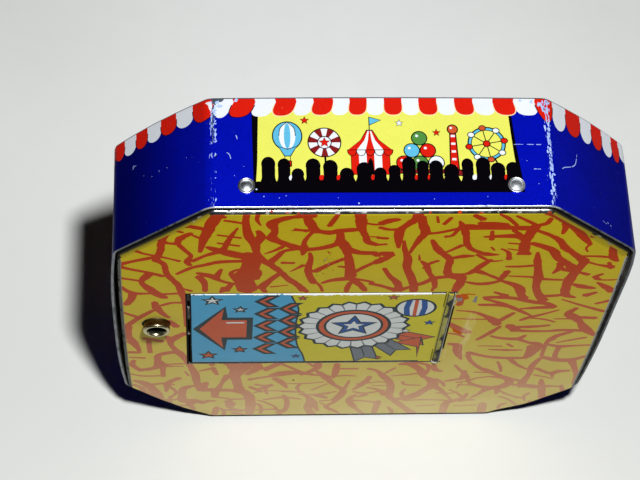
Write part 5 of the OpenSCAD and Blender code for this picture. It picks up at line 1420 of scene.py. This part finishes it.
def prism(name, prof, z0, z1, mat, bev=0.0, attrs=(0.6, 9.0, -0.3)):
    """Profile in X and Y run along Z, with small bevels on its long ends."""
    n = len(prof)
    rings = [(z0, -bev), (z0 + bev, 0), (z1 - bev, 0), (z1, -bev)] if bev else [(z0, 0), (z1, 0)]
    verts, faces = [], []
    for z, o in rings:
        pp = offset(prof, o) if o else prof
        verts += [(p[0], p[1], z) for p in pp]
    m = len(rings)
    for i in range(m - 1):
        for j in range(n):
            a, b = i * n + j, i * n + (j + 1) % n
            faces.append([a, b, b + n, a + n])
    faces.append(list(range(n))[::-1])
    faces.append(list(range((m - 1) * n, m * n)))
    me = bpy.data.meshes.new(name)
    me.from_pydata([(x * MM, y * MM, z * MM) for x, y, z in verts], [], faces)
    me.materials.append(MATS[mat])
    bm = bmesh.new()
    bm.from_mesh(me)
    bmesh.ops.triangulate(bm, faces=[f for f in bm.faces if len(f.verts) > 4])
    bmesh.ops.recalc_face_normals(bm, faces=bm.faces)
    bm.to_mesh(me)
    bm.free()
    me.polygons.foreach_set("use_smooth", [True] * len(me.polygons))
    me.set_sharp_from_angle(angle=rad(38))
    for nm, val in zip(("bend", "rim", "kk"), attrs):
        me.attributes.new(nm, 'FLOAT', 'POINT').data.foreach_set("value", [val] * len(me.vertices))
    ob = bpy.data.objects.new(name, me)
    scene.collection.objects.link(ob)
    return ob


def joined(name, parts):
    """One object out of several."""
    bpy.ops.object.select_all(action='DESELECT')
    for p in parts:
        p.select_set(True)
    bpy.context.view_layer.objects.active = parts[0]
    bpy.ops.object.join()
    ob = bpy.context.view_layer.objects.active
    ob.name = ob.data.name = name
    ob.select_set(False)
    return ob


def make_plate():
    cv = Canvas()
    cv.face(PB.ring(P_END), "tin_inside")
    # painted shade: the skirt that runs down inside the band is near-black, for the seam in shadow
    cv.face(PB.ring(2.2), "groove")
    cv.face(PB.ring(0.30), "p_yellow")

    crackle(cv, "p_red")
    plate_marks(cv)
    # bare worn edge, and beyond it the seam in shadow
    ring_face(cv, PB, .27, .34, "p_black_and_shade")
    ring_face(cv, PB, .34, .80, "p_black_and_shade")
    for k, col in ((0, "tin_edge"), (2, "p_band"), (6, "p_band"), (4, "tin_edge")):
        e = .5 if k % 4 == 0 else 0.0
        d0, d1 = (.33, .84) if k == 0 else (.34, .70)
        cv.face([PB.wall(k, -PB.h[k] - e, d0), PB.wall(k, PB.h[k] + e, d0), PB.wall(k, PB.h[k] + e, d1), PB.wall(k, -PB.h[k] - e, d1)], col)
    rnd = random.Random(8)
    for k in (1, 3, 5, 7):
        cv.face([PB.wall(k, -PB.h[k] - .3, .25), PB.wall(k, PB.h[k] + .3, .25), PB.wall(k, PB.h[k] + .2, .60), PB.wall(k, -PB.h[k] - .2, .60)], "p_yellow")
    for k, col, d0 in ((2, "p_pale", .08), (6, "p_scuff", .15)):
        cv.face([PB.wall(k, -PB.h[k], d0), PB.wall(k, PB.h[k], d0), PB.wall(k, PB.h[k], .29), PB.wall(k, -PB.h[k], .29)], col)
    for k in range(8):
        n_ = 46 if k == 0 else (26 if k % 2 == 0 else 4)
        for _ in range(n_):
            a = rnd.uniform(-PB.h[k], PB.h[k])
            l, d0, d1 = rnd.uniform(.12, .6 if k == 0 else .9), rnd.uniform(.28, .62), rnd.uniform(.45, .85)
            if d1 > d0 + .05:
                cv.face([PB.wall(k, a, d0), PB.wall(k, a + l, d0 + rnd.uniform(-.06, .06)), PB.wall(k, a + l * rnd.uniform(.7, 1), d1), PB.wall(k, a + .1, d1)],
                        rnd.choice(["p_red", "p_scuff", "p_scuff", "p_pale", "p_black_and_shade", "p_pale", "p_red"] if k == 0 else ["p_black_and_shade", "p_scuff", "p_band", "p_black_and_shade"]))
    # painted shade down the seam
    ring_face(cv, PB, .80, 2.2, "groove")
    for j in range(1, 7):
        cv.line(PB.ring(PARC * j / 6), True)
    cv.line(PB.ring(0.0), True)
    for p, q in zip(PB.ring(0.0), PB.ring(P_END)):
        cv.line([p, q])
    for k in (2, 6):
        for i in range(1, 12):
            a = PB.h[k] * (i / 6 - 1)
            cv.line([PB.wall(k, a, -4), PB.wall(k, a, P_END)])
    for k in (3, 5):
        for i in range(1, 24):
            a = PB.h[k] * (i / 12 - 1)
            cv.line([PB.wall(k, a, -4.5), PB.wall(k, a, P_END)])
    # opening for the hatch, with room for the hatch's own knuckle
    A = Art(cv)
    # painted shade on the plate's edge beside the hatch's free end, where the gap is
    A.fill([(-23.30, -12.25), (-23.0, -12.25), (-23.0, 9.92), (-23.30, 9.92)], "p_black_and_shade")
    cv.face([(-23.06, -12.3), (11.29, -12.3), (11.29, -12.0), (11.05, -12.0), (11.05, -8.0), (11.29, -8.0), (11.29, 5.6),
             (11.05, 5.6), (11.05, 9.6), (11.29, 9.6), (11.29, 9.92), (-23.06, 9.92)], None)
    cv.face(disc((BX, BZ - ZC), 1.80, 48), None)
    for k in (0, 4):
        for sx in (-1, 1):
            c = PB.wall(k, sx * 15.92, PARC + 3.35 - PF)
            cv.face(disc(c, .62, 24), None)
    def shape(x, z, d, k, a):
        bow = 0.28 * (1 - min(1, abs(z) / PB.h[2]) ** 3) * min(1, max(0, (abs(x) - 27) / 3.8))
        return x + (bow if x > 0 else -bow), YP, z, 0.0

    def low(x, z, d):
        w = 1.0 if d > -.2 else max(0.0, 1 + (d + .2) / 4.3)
        return sag(x, z, w * w * (3 - 2 * w), -31.49)

    wrap = folded(PB, PF, 1, shape, low)

    # painted shadow: how far the print is darkened along the upper seams, as shade cast by the tray's rim
    def dirt(d, k, a):
        if k in (1, 7):
            return max(0.0, 1 + (d - .3) / (.75 if k == 1 else .45)) * (.85 if k == 1 else .7)
        if k == 0:
            return max(0.0, 1 + (d - .3) / .4) * .5 * min(1, max(0, (abs(a) - PB.h[0] + 4) / 4))
        return 0.0

    for d in (-.15, -.3, -.5, -1.2, -2.0, -3.0, -4.5):
        cv.line(PB.ring(d), True)

    def strength(q, p):
        d, k, bend = q[2], q[3], q[4]
        hx = max(-23 - p[0], p[0] - 11.35, 0)
        hz = max(-12.2 - p[1], p[1] - 9.8, 0)
        gap = math.hypot(hx, hz) + 0.16
        if p[0] < -22.9:
            gap += .3
        if d <= -0.05:
            return 9.0, min(9.0, gap), -0.4, dirt(d, k, q[5])
        up = k in (0, 7, 1)
        return (bend if d > 0 else 9.0), min(abs(d - .62) * .8 + (0.14 if k == 0 else .3), gap + .1), (-0.4 if up else -.45), dirt(d, k, q[5])

    ob = sheet("plate_sheet", cv, wrap, False, "tin_inside", edge="cut_edge", strength=strength,
               rim_of=lambda x, z: abs(PB.locate(x, z)[0] - P_END) < 1e-3)
    a0 = math.degrees(math.asin(-.3 / BR))
    k1 = curl("ka", a0, a0 - 330, 20.0, 24.0, "h_barrel", "case")
    k2 = curl("kb", a0, a0 - 330, 37.6, 41.6, "h_barrel", "case")
    ob = joined("back_pan", [ob, k1, k2])
    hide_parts("back_plate")
    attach(ob, "case")
    return ob


# ------------------------------------------------------------------ hatch
HF = 0.35


def hatch_art(cv):
    A = Art(cv, lambda p: p, "h_ink", .22)
    # light blue third with a pointer towards the button, then a yellow field
    A.fill([(-23.2, -15), (-7.0, -15), (-7.6, -10), (-8.6, -6), (-9.0, 0), (-8.8, 5), (-9.6, 8), (-10.8, 13), (-23.2, 13)], "h_sky")
    A.stroke(curve([(-7.0, -15), (-7.6, -10), (-8.6, -6), (-9.0, 0), (-8.8, 5), (-9.6, 8), (-10.8, 13)], 4), .25)
    A.shape([(-22.0, -.9), (-18.3, 5.6), (-18.3, 2.2), (-15.0, 2.2), (-15.0, -4.0), (-18.3, -4.0), (-18.3, -7.4)], "h_orange", .8)
    A.stroke([(-18.0, 1.0), (-15.8, 1.0)], .4, "h_white")
    for x, z, r in ((-19.9, 7.7, 1.3), (-20.4, -9.4, 1.25), (-16.3, 5.0, .9), (-16.2, -7.6, 1.0)):
        A.shape(star((x, z), r), "h_white" if r > 1.27 or r < .95 else "h_orange", .34)
    for cx, zz in ((-12.9, (7.4, 3.7, 0.0, -3.7, -7.4)), (-9.9, (5.2, 1.6, -2.0, -5.6))):
        for i, z in enumerate(zz):
            k = -1 if cx < -11 else -.94
            A.shape([(cx + k * 1.35, z), (cx + .1, z + 1.55), (cx + 1.3, z + 1.55), (cx - .1, z), (cx + 1.3, z - 1.55), (cx + .1, z - 1.55)],
                    "h_orange", .5)
    # rosette
    c = (-1.4, -.2)
    for f, l, w in ((-52, 11.2, 2.6), (-78, 11.6, 2.6), (-26, 11.6, 2.4)):
        d = Vector((cos(rad(f)), sin(rad(f))))
        s = Vector((-d.y, d.x))
        o = Vector(c) + d * 3
        e = Vector(c) + d * l
        A.shape([tuple(o - s * w / 2), tuple(e - s * w * .62), tuple(e - d * 1.1), tuple(e + s * w * .62), tuple(o + s * w / 2)],
                "h_slate" if f != -26 else "h_orange")
        A.stroke([tuple(o), tuple(e - d * 1.6)], .16)
    n = 22
    pts = []
    for i in range(n * 4):
        f = 2 * pi * i / (n * 4)
        r = 7.0 + .32 * cos(n * f)
        pts.append((c[0] + r * cos(f), c[1] + r * sin(f)))
    A.shape(pts, "h_white", .42)
    for i in range(n):
        f = 2 * pi * (i + .5) / n
        A.fill(ribbon([(c[0] + 4.5 * cos(f), c[1] + 4.5 * sin(f)), (c[0] + 6.55 * cos(f), c[1] + 6.55 * sin(f))], [.1, .26]), "h_slate")
    A.shape(disc(c, 4.75, 48), "h_orange", .42)
    A.shape(disc(c, 3.75, 48), "h_white", .34)
    A.shape(star(c, 3.1, 1.35), "h_blue", .26)
    A.shape(star(c, 1.5, .68), "h_white", .08)
    # ball, pennant and small stars on the yellow
    b = (6.3, 5.2)
    A.shape(disc(b, 2.55, 40), "h_white", .36)
    for g in (-1, 1):
        A.fill([(b[0] + g * x, b[1] + z) for x, z in ((.55, 2.35), (1.35, 2.0), (1.55, 0), (1.35, -2.0), (.55, -2.35), (.8, 0))], "h_blue")
    A.fill([(b[0] - .25, b[1] + 2.4), (b[0] + .25, b[1] + 2.4), (b[0] + .25, b[1] - 2.4), (b[0] - .25, b[1] - 2.4)], "h_orange")
    A.shape([(7.9, -11.0), (7.9, -4.0), (4.4, -5.6), (7.6, -7.2)], "h_orange", .2)
    for x, z, r, k in ((3.2, 8.4, .8, "h_orange"), (8.5, .6, .8, "h_blue"), (5.6, -1.9, .7, "h_white"), (-8.4, 8.3, .7, "h_orange"),
                       (-8.6, -9.9, .7, "h_blue"), (2.6, -10.6, .6, "h_orange")):
        A.shape(star((x, z), r), k, .14)


def make_hatch():
    zt, zb = HZ1 - ZC - HF, HZ0 - ZC + HF
    arc = pi / 2 * HF
    ext = arc + 1.5 - HF - .08
    cv = Canvas()
    cv.face([(HX0, zb - ext), (8.0, zb - ext), (8.0, zb), (8.12, zb), (8.12, zb - HF), (HX1, zb - HF), (HX1, -7.9), (HX1 + .22, -7.9),
             (HX1 + .22, 5.5), (HX1, 5.5), (HX1, zt + HF), (8.12, zt + HF), (8.12, zt), (8.0, zt), (8.0, zt + ext), (HX0, zt + ext)],
            "h_yellow")
    hatch_art(cv)
    # painted highlight and wear: a bright bare edge along the top, ragged where the ink shows through
    A = Art(cv)
    for x0, x1, w0, w1 in ((HX0, -12.5, .12, .34), (-12.5, -10.0, .04, .40), (-10.0, 8.05, -.10, .46), (8.12, HX1, .04, HF)):
        A.fill([(x0, zt + w0), (x1, zt + w0), (x1, zt + w1), (x0, zt + w1)], "h_wear_and_highlight")
    rnd = random.Random(6)
    for _ in range(34):
        x, l = rnd.uniform(HX0, 7.6), rnd.uniform(.15, .8)
        if x > -10:
            A.fill([(x, zt - .3), (x + l, zt - rnd.uniform(.16, .3)), (x + l * .8, zt + rnd.uniform(-.08, .14)), (x + .05, zt + rnd.uniform(-.08, .14))],
                   rnd.choice(["h_wear_and_highlight", "h_yellow", "h_yellow"]))
        else:
            A.fill([(x, zt - .02), (x + l, zt + rnd.uniform(.0, .1)), (x + l * .8, zt + rnd.uniform(.15, .3)), (x + .05, zt + rnd.uniform(.12, .25))],
                   rnd.choice(["h_sky", "h_wear_and_highlight", "h_ink"]))
    # painted shade at the gaps along the top and foot folds and down the free end, and a pale painted highlight on the
    # lower fold
    A.fill([(HX0, zt + .42), (8.05, zt + .48), (8.05, zt + .9), (HX0, zt + .9)], "p_black_and_shade")
    A.fill([(HX0, zb - .02), (8.05, zb - .02), (8.05, zb - .18), (HX0, zb - .18)], "h_white")
    A.fill([(HX0, zb - .30), (8.05, zb - .30), (8.05, zb - .9), (HX0, zb - .9)], "p_black_and_shade")
    A.fill([(HX0 - .1, -15), (HX0 + .2, -15), (HX0 + .26, -11.4), (HX0 + .2, -6), (HX0 + .24, 3), (HX0 + .2, 13), (HX0 - .1, 13)], "p_black_and_shade")
    # the art stops at the sheet's own outline
    big = 40
    for poly in ([(-big, -big), (HX0, -big), (HX0, big), (-big, big)],
                 [(8.0, zt), (8.12, zt), (8.12, big), (8.0, big)], [(8.0, zb), (8.0, -big), (8.12, -big), (8.12, zb)],
                 [(8.12, zt + HF), (big, zt + HF), (big, big), (8.12, big)], [(8.12, zb - HF), (8.12, -big), (big, -big), (big, zb - HF)],
                 [(HX0, zt + ext), (8.0, zt + ext), (8.0, big), (HX0, big)], [(HX0, zb - ext), (HX0, -big), (8.0, -big), (8.0, zb - ext)],
                 [(HX1, 5.5), (big, 5.5), (big, big), (HX1, big)], [(HX1, -7.9), (HX1, -big), (big, -big), (big, -7.9)],
                 [(HX1 + .22, -big), (big, -big), (big, big), (HX1 + .22, big)]):
        cv.face(poly, None)
    for z in (zt, zb):
        s = 1 if z > 0 else -1
        for j in range(0, 6):
            cv.line([(HX0, z + s * arc * j / 5), (8.0, z + s * arc * j / 5)])

    def wrap(x, z):
        top = z > 0
        d = (z - zt) if top else (zb - z)
        s = 1 if top else -1
        if d <= 0 or x > 8.06:
            return (x, YP, ZC + z), (0, -1, 0), d, 0, 9.0, 0
        b = zt if top else zb
        if d < arc:
            f = d / HF
            return (x, YP + HF * (1 - cos(f)), ZC + b + s * HF * sin(f)), (0, -cos(f), s * sin(f)), d, 0, 9.0, 0
        return (x, YP + HF + d - arc, ZC + b + s * HF), (0, 0, s), d, 0, 9.0, 0

    def strength(q, p):
        x, z = p
        e = min(abs(z - zt - .2), abs(z - zb + .2)) * (1.0 if z > 0 else 1.6)
        return e + .3, min(HX1 - x + .3, 9), -.3

    leaf = sheet("leaf", cv, wrap, False, "tin_inside", edge="cut_edge", strength=strength,
                 rim_of=lambda x, z: x < 8.01 and (abs(z - zt - ext) < 1e-3 or abs(zb - ext - z) < 1e-3))
    a0 = 180 - math.degrees(math.asin(-.3 / BR))
    knob = curl("kc", a0, a0 + 330, 24.1, 37.5, "h_barrel", "hatch")
    x0, x1 = -21.6, -21.25
    prof = [(x1, -7.56), (x1, -4.75)] + [(x1 - .15 + .15 * cos(rad(f)), -4.75 + .15 * sin(rad(f))) for f in (30, 60, 90)] + \
        [(-22.45, -4.6), (-22.55, -4.7), (-22.55, -4.85), (-22.45, -4.95), (x0 - .12, -4.95), (x0 - .03, -4.99), (x0, -5.08), (x0, -7.56)]
    tongue = prism("kt", prof, 29.8, 36.0, "bare_tin", bev=.06)
    ob = joined("hatch_leaf", [leaf, knob, tongue])
    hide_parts("hatch")
    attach(ob, "hatch")
    return ob


# ------------------------------------------------------------------ turned pieces
def lathe(name, prof, at, axis, mats, n=64, sharp=35):
    """prof is [(radius, height, material)], turned about axis ('y' or 'z') through at."""
    verts, faces, ids = [], [], []
    rings = []
    for r, h, _ in prof:
        if r < 1e-6:
            rings.append([len(verts)])
            verts.append((0, 0, h))
        else:
            rings.append(list(range(len(verts), len(verts) + n)))
            verts += [(r * cos(2 * pi * i / n), r * sin(2 * pi * i / n), h) for i in range(n)]
    for j in range(len(prof) - 1):
        A, B = rings[j], rings[j + 1]
        mid = mats.index(prof[j + 1][2])
        for i in range(n):
            k = (i + 1) % n
            f = [A[i % len(A)], A[k % len(A)], B[k % len(B)], B[i % len(B)]]
            f = list(dict.fromkeys(f))
            if len(f) > 2:
                faces.append(f)
                ids.append(mid)
    if len(rings[0]) > 1 and len(rings[-1]) > 1:
        A, B = rings[-1], rings[0]
        for i in range(n):
            k = (i + 1) % n
            faces.append([A[i], A[k], B[k], B[i]])
            ids.append(mats.index(prof[0][2]))
    out = []
    for x, y, z in verts:
        if axis == 'z':
            p = (x, y, z)
        else:
            p = (x, z, -y)
        out.append(tuple((p[i] + at[i]) * MM for i in range(3)))
    me = bpy.data.meshes.new(name)
    me.from_pydata(out, [], faces)
    for k in mats:
        me.materials.append(MATS[k])
    me.polygons.foreach_set("material_index", ids)
    bm = bmesh.new()
    bm.from_mesh(me)
    bmesh.ops.recalc_face_normals(bm, faces=bm.faces)
    bm.to_mesh(me)
    bm.free()
    me.polygons.foreach_set("use_smooth", [True] * len(me.polygons))
    me.set_sharp_from_angle(angle=rad(sharp))
    ob = bpy.data.objects.new(name, me)
    scene.collection.objects.link(ob)
    return ob


def arc_pts(cx, cy, r, a0, a1, n, mat):
    return [(cx + r * cos(rad(a0 + (a1 - a0) * i / n)), cy + r * sin(rad(a0 + (a1 - a0) * i / n)), mat) for i in range(n + 1)]


def make_button():
    o = -9.1
    b, d, i = "brass", "brass_dark", "brass_bore_shade"
    prof = arc_pts(1.50, o + .25, .25, 180, 360, 8, b)          # rolled lip
    # the bore, lined with the near-black brass of painted shade
    prof = [(1.225, -6.9, i), (1.225, o + .3, i)] + prof
    prof += [(1.73, o + .42, d), (1.72, o + .7, d), (1.66, o + .95, d), (1.69, -7.95, d), (1.69, -7.5, b), (2.5, -7.5, b), (2.6, -7.42, b), (2.6, -7.18, b),
             (2.5, -7.1, b), (1.75, -7.1, b), (1.75, -6.2, b), (0.45, -4.9, b), (0.25, -4.72, b), (0, -4.7, b)]
    prof = [(0, -6.9, i)] + prof
    ob = lathe("button_eyelet", prof, (BX, 0, BZ), 'y', ["brass", "brass_dark", "brass_bore_shade"])
    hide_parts("button")
    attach(ob, "button")


def make_rivets():
    t, e = "bare_tin", "rivet_dish"
    parts = []
    for sx in (-1, 1):
        prof = [(0, .245, e), (.14, .238, e), (.28, .216, e), (.42, .176, e), (.54, .126, e), (.64, .075, e), (.71, .046, e), (.77, .042, e),
                (.83, .07, e), (.88, .12, t)]
        prof += arc_pts(.955, .125, .075, 165, -10, 9, t)
        prof += [(1.045, .06, t), (1.05, .0, t), (.61, .0, t), (.61, -.85, t), (.95, -.87, t), (.97, -1.2, t), (.9, -1.3, t), (0, -1.3, t)]
        parts.append(lathe("r", prof, (sx * 15.92, YR + 2.8, 64.0), 'z', [t, e], 48))
        prof = [(0, .02, e), (.42, .03, e), (.55, .0, e), (.98, .0, t), (1.0, .02, t), (.61, .35, t), (.61, .85, t), (.95, .87, t), (.97, 1.2, t),
                (.9, 1.3, t), (0, 1.3, t)]
        parts.append(lathe("r", prof, (sx * 15.92, YR + 2.8, 0.0), 'z', [t, e], 48))
    ob = joined("rivet_heads", parts)
    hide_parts("case_rivets")
    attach(ob, "case")


# ------------------------------------------------------------------ number dial
DIGITS = {
    "0": [[(.5, 0), (.12, .25), (.08, .8), (.12, 1.35), (.5, 1.6), (.88, 1.35), (.92, .8), (.88, .25), (.5, 0)]],
    "1": [[(.2, 1.25), (.55, 1.6), (.55, 0)], [(.25, 0), (.85, 0)]],
    "2": [[(.1, 1.2), (.2, 1.5), (.5, 1.6), (.82, 1.48), (.9, 1.15), (.7, .8), (.1, 0), (.95, 0)]],
    "3": [[(.1, 1.4), (.4, 1.6), (.8, 1.5), (.88, 1.15), (.7, .9), (.4, .85)], [(.5, .87), (.85, .7), (.92, .4), (.75, .1), (.4, 0), (.06, .2)]],
    "4": [[(.72, 0), (.72, 1.6), (.05, .5), (1.0, .5)]],
    "5": [[(.85, 1.6), (.2, 1.6), (.14, .9), (.5, 1.0), (.85, .8), (.9, .4), (.7, .08), (.35, 0), (.06, .15)]],
    "6": [[(.8, 1.5), (.5, 1.6), (.2, 1.3), (.08, .7), (.15, .2), (.5, 0), (.85, .18), (.9, .55), (.7, .85), (.4, .88), (.12, .6)]],
    "7": [[(.08, 1.6), (.92, 1.6), (.5, .8), (.38, 0)]],
    "8": [[(.5, .87), (.18, 1.05), (.15, 1.4), (.5, 1.6), (.85, 1.4), (.82, 1.05), (.5, .87), (.12, .65), (.08, .22), (.5, 0), (.92, .22),
           (.88, .65), (.5, .87)]],
    "9": [[(.2, .1), (.5, 0), (.8, .3), (.92, .9), (.85, 1.4), (.5, 1.6), (.15, 1.42), (.1, 1.05), (.3, .75), (.6, .72), (.88, 1.0)]],
}


def make_dial():
    cv = Canvas()
    cv.face(disc((0, 0), 17.5, 128), "d_white")
    cv.face(disc((0, 0), 17.25, 128), "d_black")
    cv.face(disc((0, 0), 17.1, 128), "d_white")
    cv.face(disc((0, 0), 12.55, 96), "d_black")
    cv.face(disc((0, 0), 12.4, 96), "d_white")
    for i in range(50):
        f = rad(-7.2 * i)

        def tf(p, f=f):
            x, z = -p[0], p[1]
            return (x * cos(f) - z * sin(f), x * sin(f) + z * cos(f))

        s = str(i)
        h = .84
        for j, ch in enumerate(s):
            x0 = 14.85 - (len(s) * 1.12 - .2) / 2 + j * 1.12
            for st in DIGITS[ch]:
                pts = [(x0 + p[0] * .92, (p[1] - .8) * h) for p in st]
                for a, b in zip(pts, pts[1:]):
                    cv.face([tf(q) for q in ribbon([a, b], .2)], "d_black")
        f2 = rad(-7.2 * (i + .5))
        for r0, r1 in ((16.6, 17.2),):
            cv.face([(-r0 * cos(f2) + .05 * sin(f2), -r0 * sin(f2) - .05 * cos(f2)), (-r1 * cos(f2) + .05 * sin(f2), -r1 * sin(f2) - .05 * cos(f2)),
                     (-r1 * cos(f2) - .05 * sin(f2), -r1 * sin(f2) + .05 * cos(f2)), (-r0 * cos(f2) - .05 * sin(f2), -r0 * sin(f2) + .05 * cos(f2))],
                    "d_black")
    cv.face(disc((0, 0), 2.81, 48), None)
    ob = sheet("number_dial", cv, lambda x, z: ((x, 5.6, ZC + z), (0, 1, 0), 0, 0, 9.0, 0), True, "tinned", thick=.3)
    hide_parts("dial_disc")
    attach(ob, "register")


# ------------------------------------------------------------------ celluloid lens
def lens_mat():
    m, nt, b = new_mat("celluloid")
    g = G(nt)
    g.link(g.mix(g.ramp(g.noise(300, 3.0), .4, .65), (0.86, 0.86, 0.80), (0.93, 0.93, 0.90)), b.inputs["Base Color"])
    g.link(g.ramp(g.noise(900, 3.0), .35, .7, .05, .22), b.inputs["Roughness"])
    b.inputs["Alpha"].default_value = 0.16
    b.inputs["IOR"].default_value = 1.5
    g.bump(g.noise(200, 2.0), .1, 0.00005, b)
    return m


MATS["lens"] = lens_mat()
MATS["h_barrel"] = None


def barrel_mat():
    m, nt, b = new_mat("ink_h_barrel")
    g = G(nt)
    n1 = g.noise(420, 4.0, 0.65, g.stretch((1.4, 1.4, .7)))
    n2 = g.noise(3000, 3.0, 0.6)
    col = g.mix(g.ramp(n2, .3, .7), (0.24, 0.22, 0.028), (0.36, 0.335, 0.050))
    x, y, z = g.sep()
    right = g.ramp(x, 0.0101, 0.0110, -0.10, 0.10)
    col = g.mix(g.ramp(g.math('ADD', g.math('MULTIPLY_ADD', n2, .2, n1), right), .58, .63), col, (0.004, 0.004, 0.005))
    col = g.mix(g.ramp(g.math('MULTIPLY_ADD', n2, -.25, n1), .22, .19), col, (0.30, 0.31, 0.28))
    # the leaf's yellow runs on to the barrel, then a dark line; beyond the barrel's crown the ink is rubbed pale
    jit = g.math('MULTIPLY_ADD', n2, 0.00012, -0.00006)
    xx = g.math('ADD', x, jit)
    col = g.mix(g.ramp(xx, 0.01074, 0.01078, 0.0, 1.0, True), col, (0.008, 0.009, 0.006))
    col = g.mix(g.ramp(xx, 0.01090, 0.01093, 0.0, 1.0, True), col, (0.40, 0.41, 0.37))
    col = g.mix(g.ramp(xx, 0.01106, 0.01110, 0.0, 1.0, True), col, (0.34, 0.27, 0.03))
    col = g.mix(g.ramp(xx, 0.01013, 0.01017, 1.0, 0.0, True), col, (0.012, 0.013, 0.008))
    col = g.mix(g.ramp(xx, 0.01002, 0.01005, 1.0, 0.0, True), col, (0.50, 0.44, 0.03))
    # painted highlight: a near-white spot at the lower end, where the pin end catches the light
    tip = g.math('MULTIPLY', g.ramp(z, 0.02035, 0.02055, 1.0, 0.0, True), g.ramp(x, 0.01065, 0.01075, 1.0, 0.0, True))
    col = g.mix(tip, col, (0.75, 0.76, 0.74))
    g.link(col, b.inputs["Base Color"])
    g.link(g.ramp(n1, .3, .7, .3, .5), b.inputs["Roughness"])
    b.inputs["Specular IOR Level"].default_value = 0.08
    g.bump(n1, .2, 0.00003, b)
    return m


MATS["h_barrel"] = barrel_mat()

# ------------------------------------------------------------------ camera
cam = bpy.data.cameras.new("camera")
cam.lens = 111.48
cam.sensor_width = 36.0
cam.clip_start = 0.01
cam_ob = bpy.data.objects.new("camera", cam)
cam_ob.location = (-0.02086, -0.11551, 0.26774)
cam_ob.rotation_euler = (rad(27.057), rad(-2.849), rad(-1.765))
scene.collection.objects.link(cam_ob)
scene.camera = cam_ob

# ------------------------------------------------------------------ pieces
make_tray()
make_plate()
make_hatch()
make_button()
make_rivets()
make_dial()

FINISH = {
    "hinge_pin": "bare_tin", "kick_spring": "spring", "catch_slide": "tinned", "catch_bracket": "tinned", "catch_spring": "spring",
    "mechanism_plate": "tinned", "plate_posts": "bare_tin", "coin_chute": "tinned", "coin_lever": "tinned", "coin_finger": "bare_tin",
    "lever_spring": "spring", "spring_post": "bare_tin", "pawl_pin": "brass", "drive_pawl": "tinned", "pawl_spring": "spring",
    "register_wheel": "tinned", "lock_ring": "tinned", "wheel_hub": "brass", "wheel_arbor": "bare_tin", "arbor_clip": "spring",
    "click_post": "bare_tin", "click_spring": "spring", "window_lens": "lens",
}
for name, key in FINISH.items():
    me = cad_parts[name].data
    me.materials.clear()
    me.materials.append(MATS[key])

# ------------------------------------------------------------------ floor and light
me = bpy.data.meshes.new("floor")
bm = bmesh.new()
bmesh.ops.create_grid(bm, x_segments=8, y_segments=8, size=0.9)
bm.to_mesh(me)
bm.free()
floor = bpy.data.objects.new("floor", me)
floor.location = (0, 0, -0.00006)
scene.collection.objects.link(floor)
m, nt, b = new_mat("pale_floor")
g = G(nt)
x, y, z = g.sep()
col = g.mix(g.ramp(g.noise(40, 3.0), .35, .65), (0.700, 0.718, 0.708), (0.722, 0.738, 0.729))
# painted shade: the floor is made darker towards the sides and the front
painted_floor_shade = g.math('ADD', g.ramp(g.math('ABSOLUTE', x), 0.008, 0.050, 0.0, 0.44, True), g.ramp(y, 0.045, -0.010, 0.0, 0.62, True))
col = g.mix(painted_floor_shade, col, (0.590, 0.604, 0.583))
g.link(col, b.inputs["Base Color"])
g.link(g.ramp(g.noise(300, 2.0), .3, .7, .55, .7), b.inputs["Roughness"])
floor.data.materials.append(m)

world = bpy.data.worlds.new("studio")
scene.world = world
world.use_nodes = True
bg = world.node_tree.nodes["Background"]
bg.inputs[0].default_value = (0.95, 0.97, 1.0, 1)
bg.inputs[1].default_value = 0.004


def area_light(name, loc, target, size, power, color=(1, 1, 1)):
    l = bpy.data.lights.new(name, 'AREA')
    l.shape = 'DISK'
    l.size = size
    l.energy = power
    l.color = color
    o = bpy.data.objects.new(name, l)
    o.location = loc
    o.rotation_euler = (Vector(target) - Vector(loc)).to_track_quat('-Z', 'Y').to_euler()
    scene.collection.objects.link(o)
    return o


area_light("key", (0.010, -0.076, 0.302), (0, 0, 0.03), 0.019, 1.23)
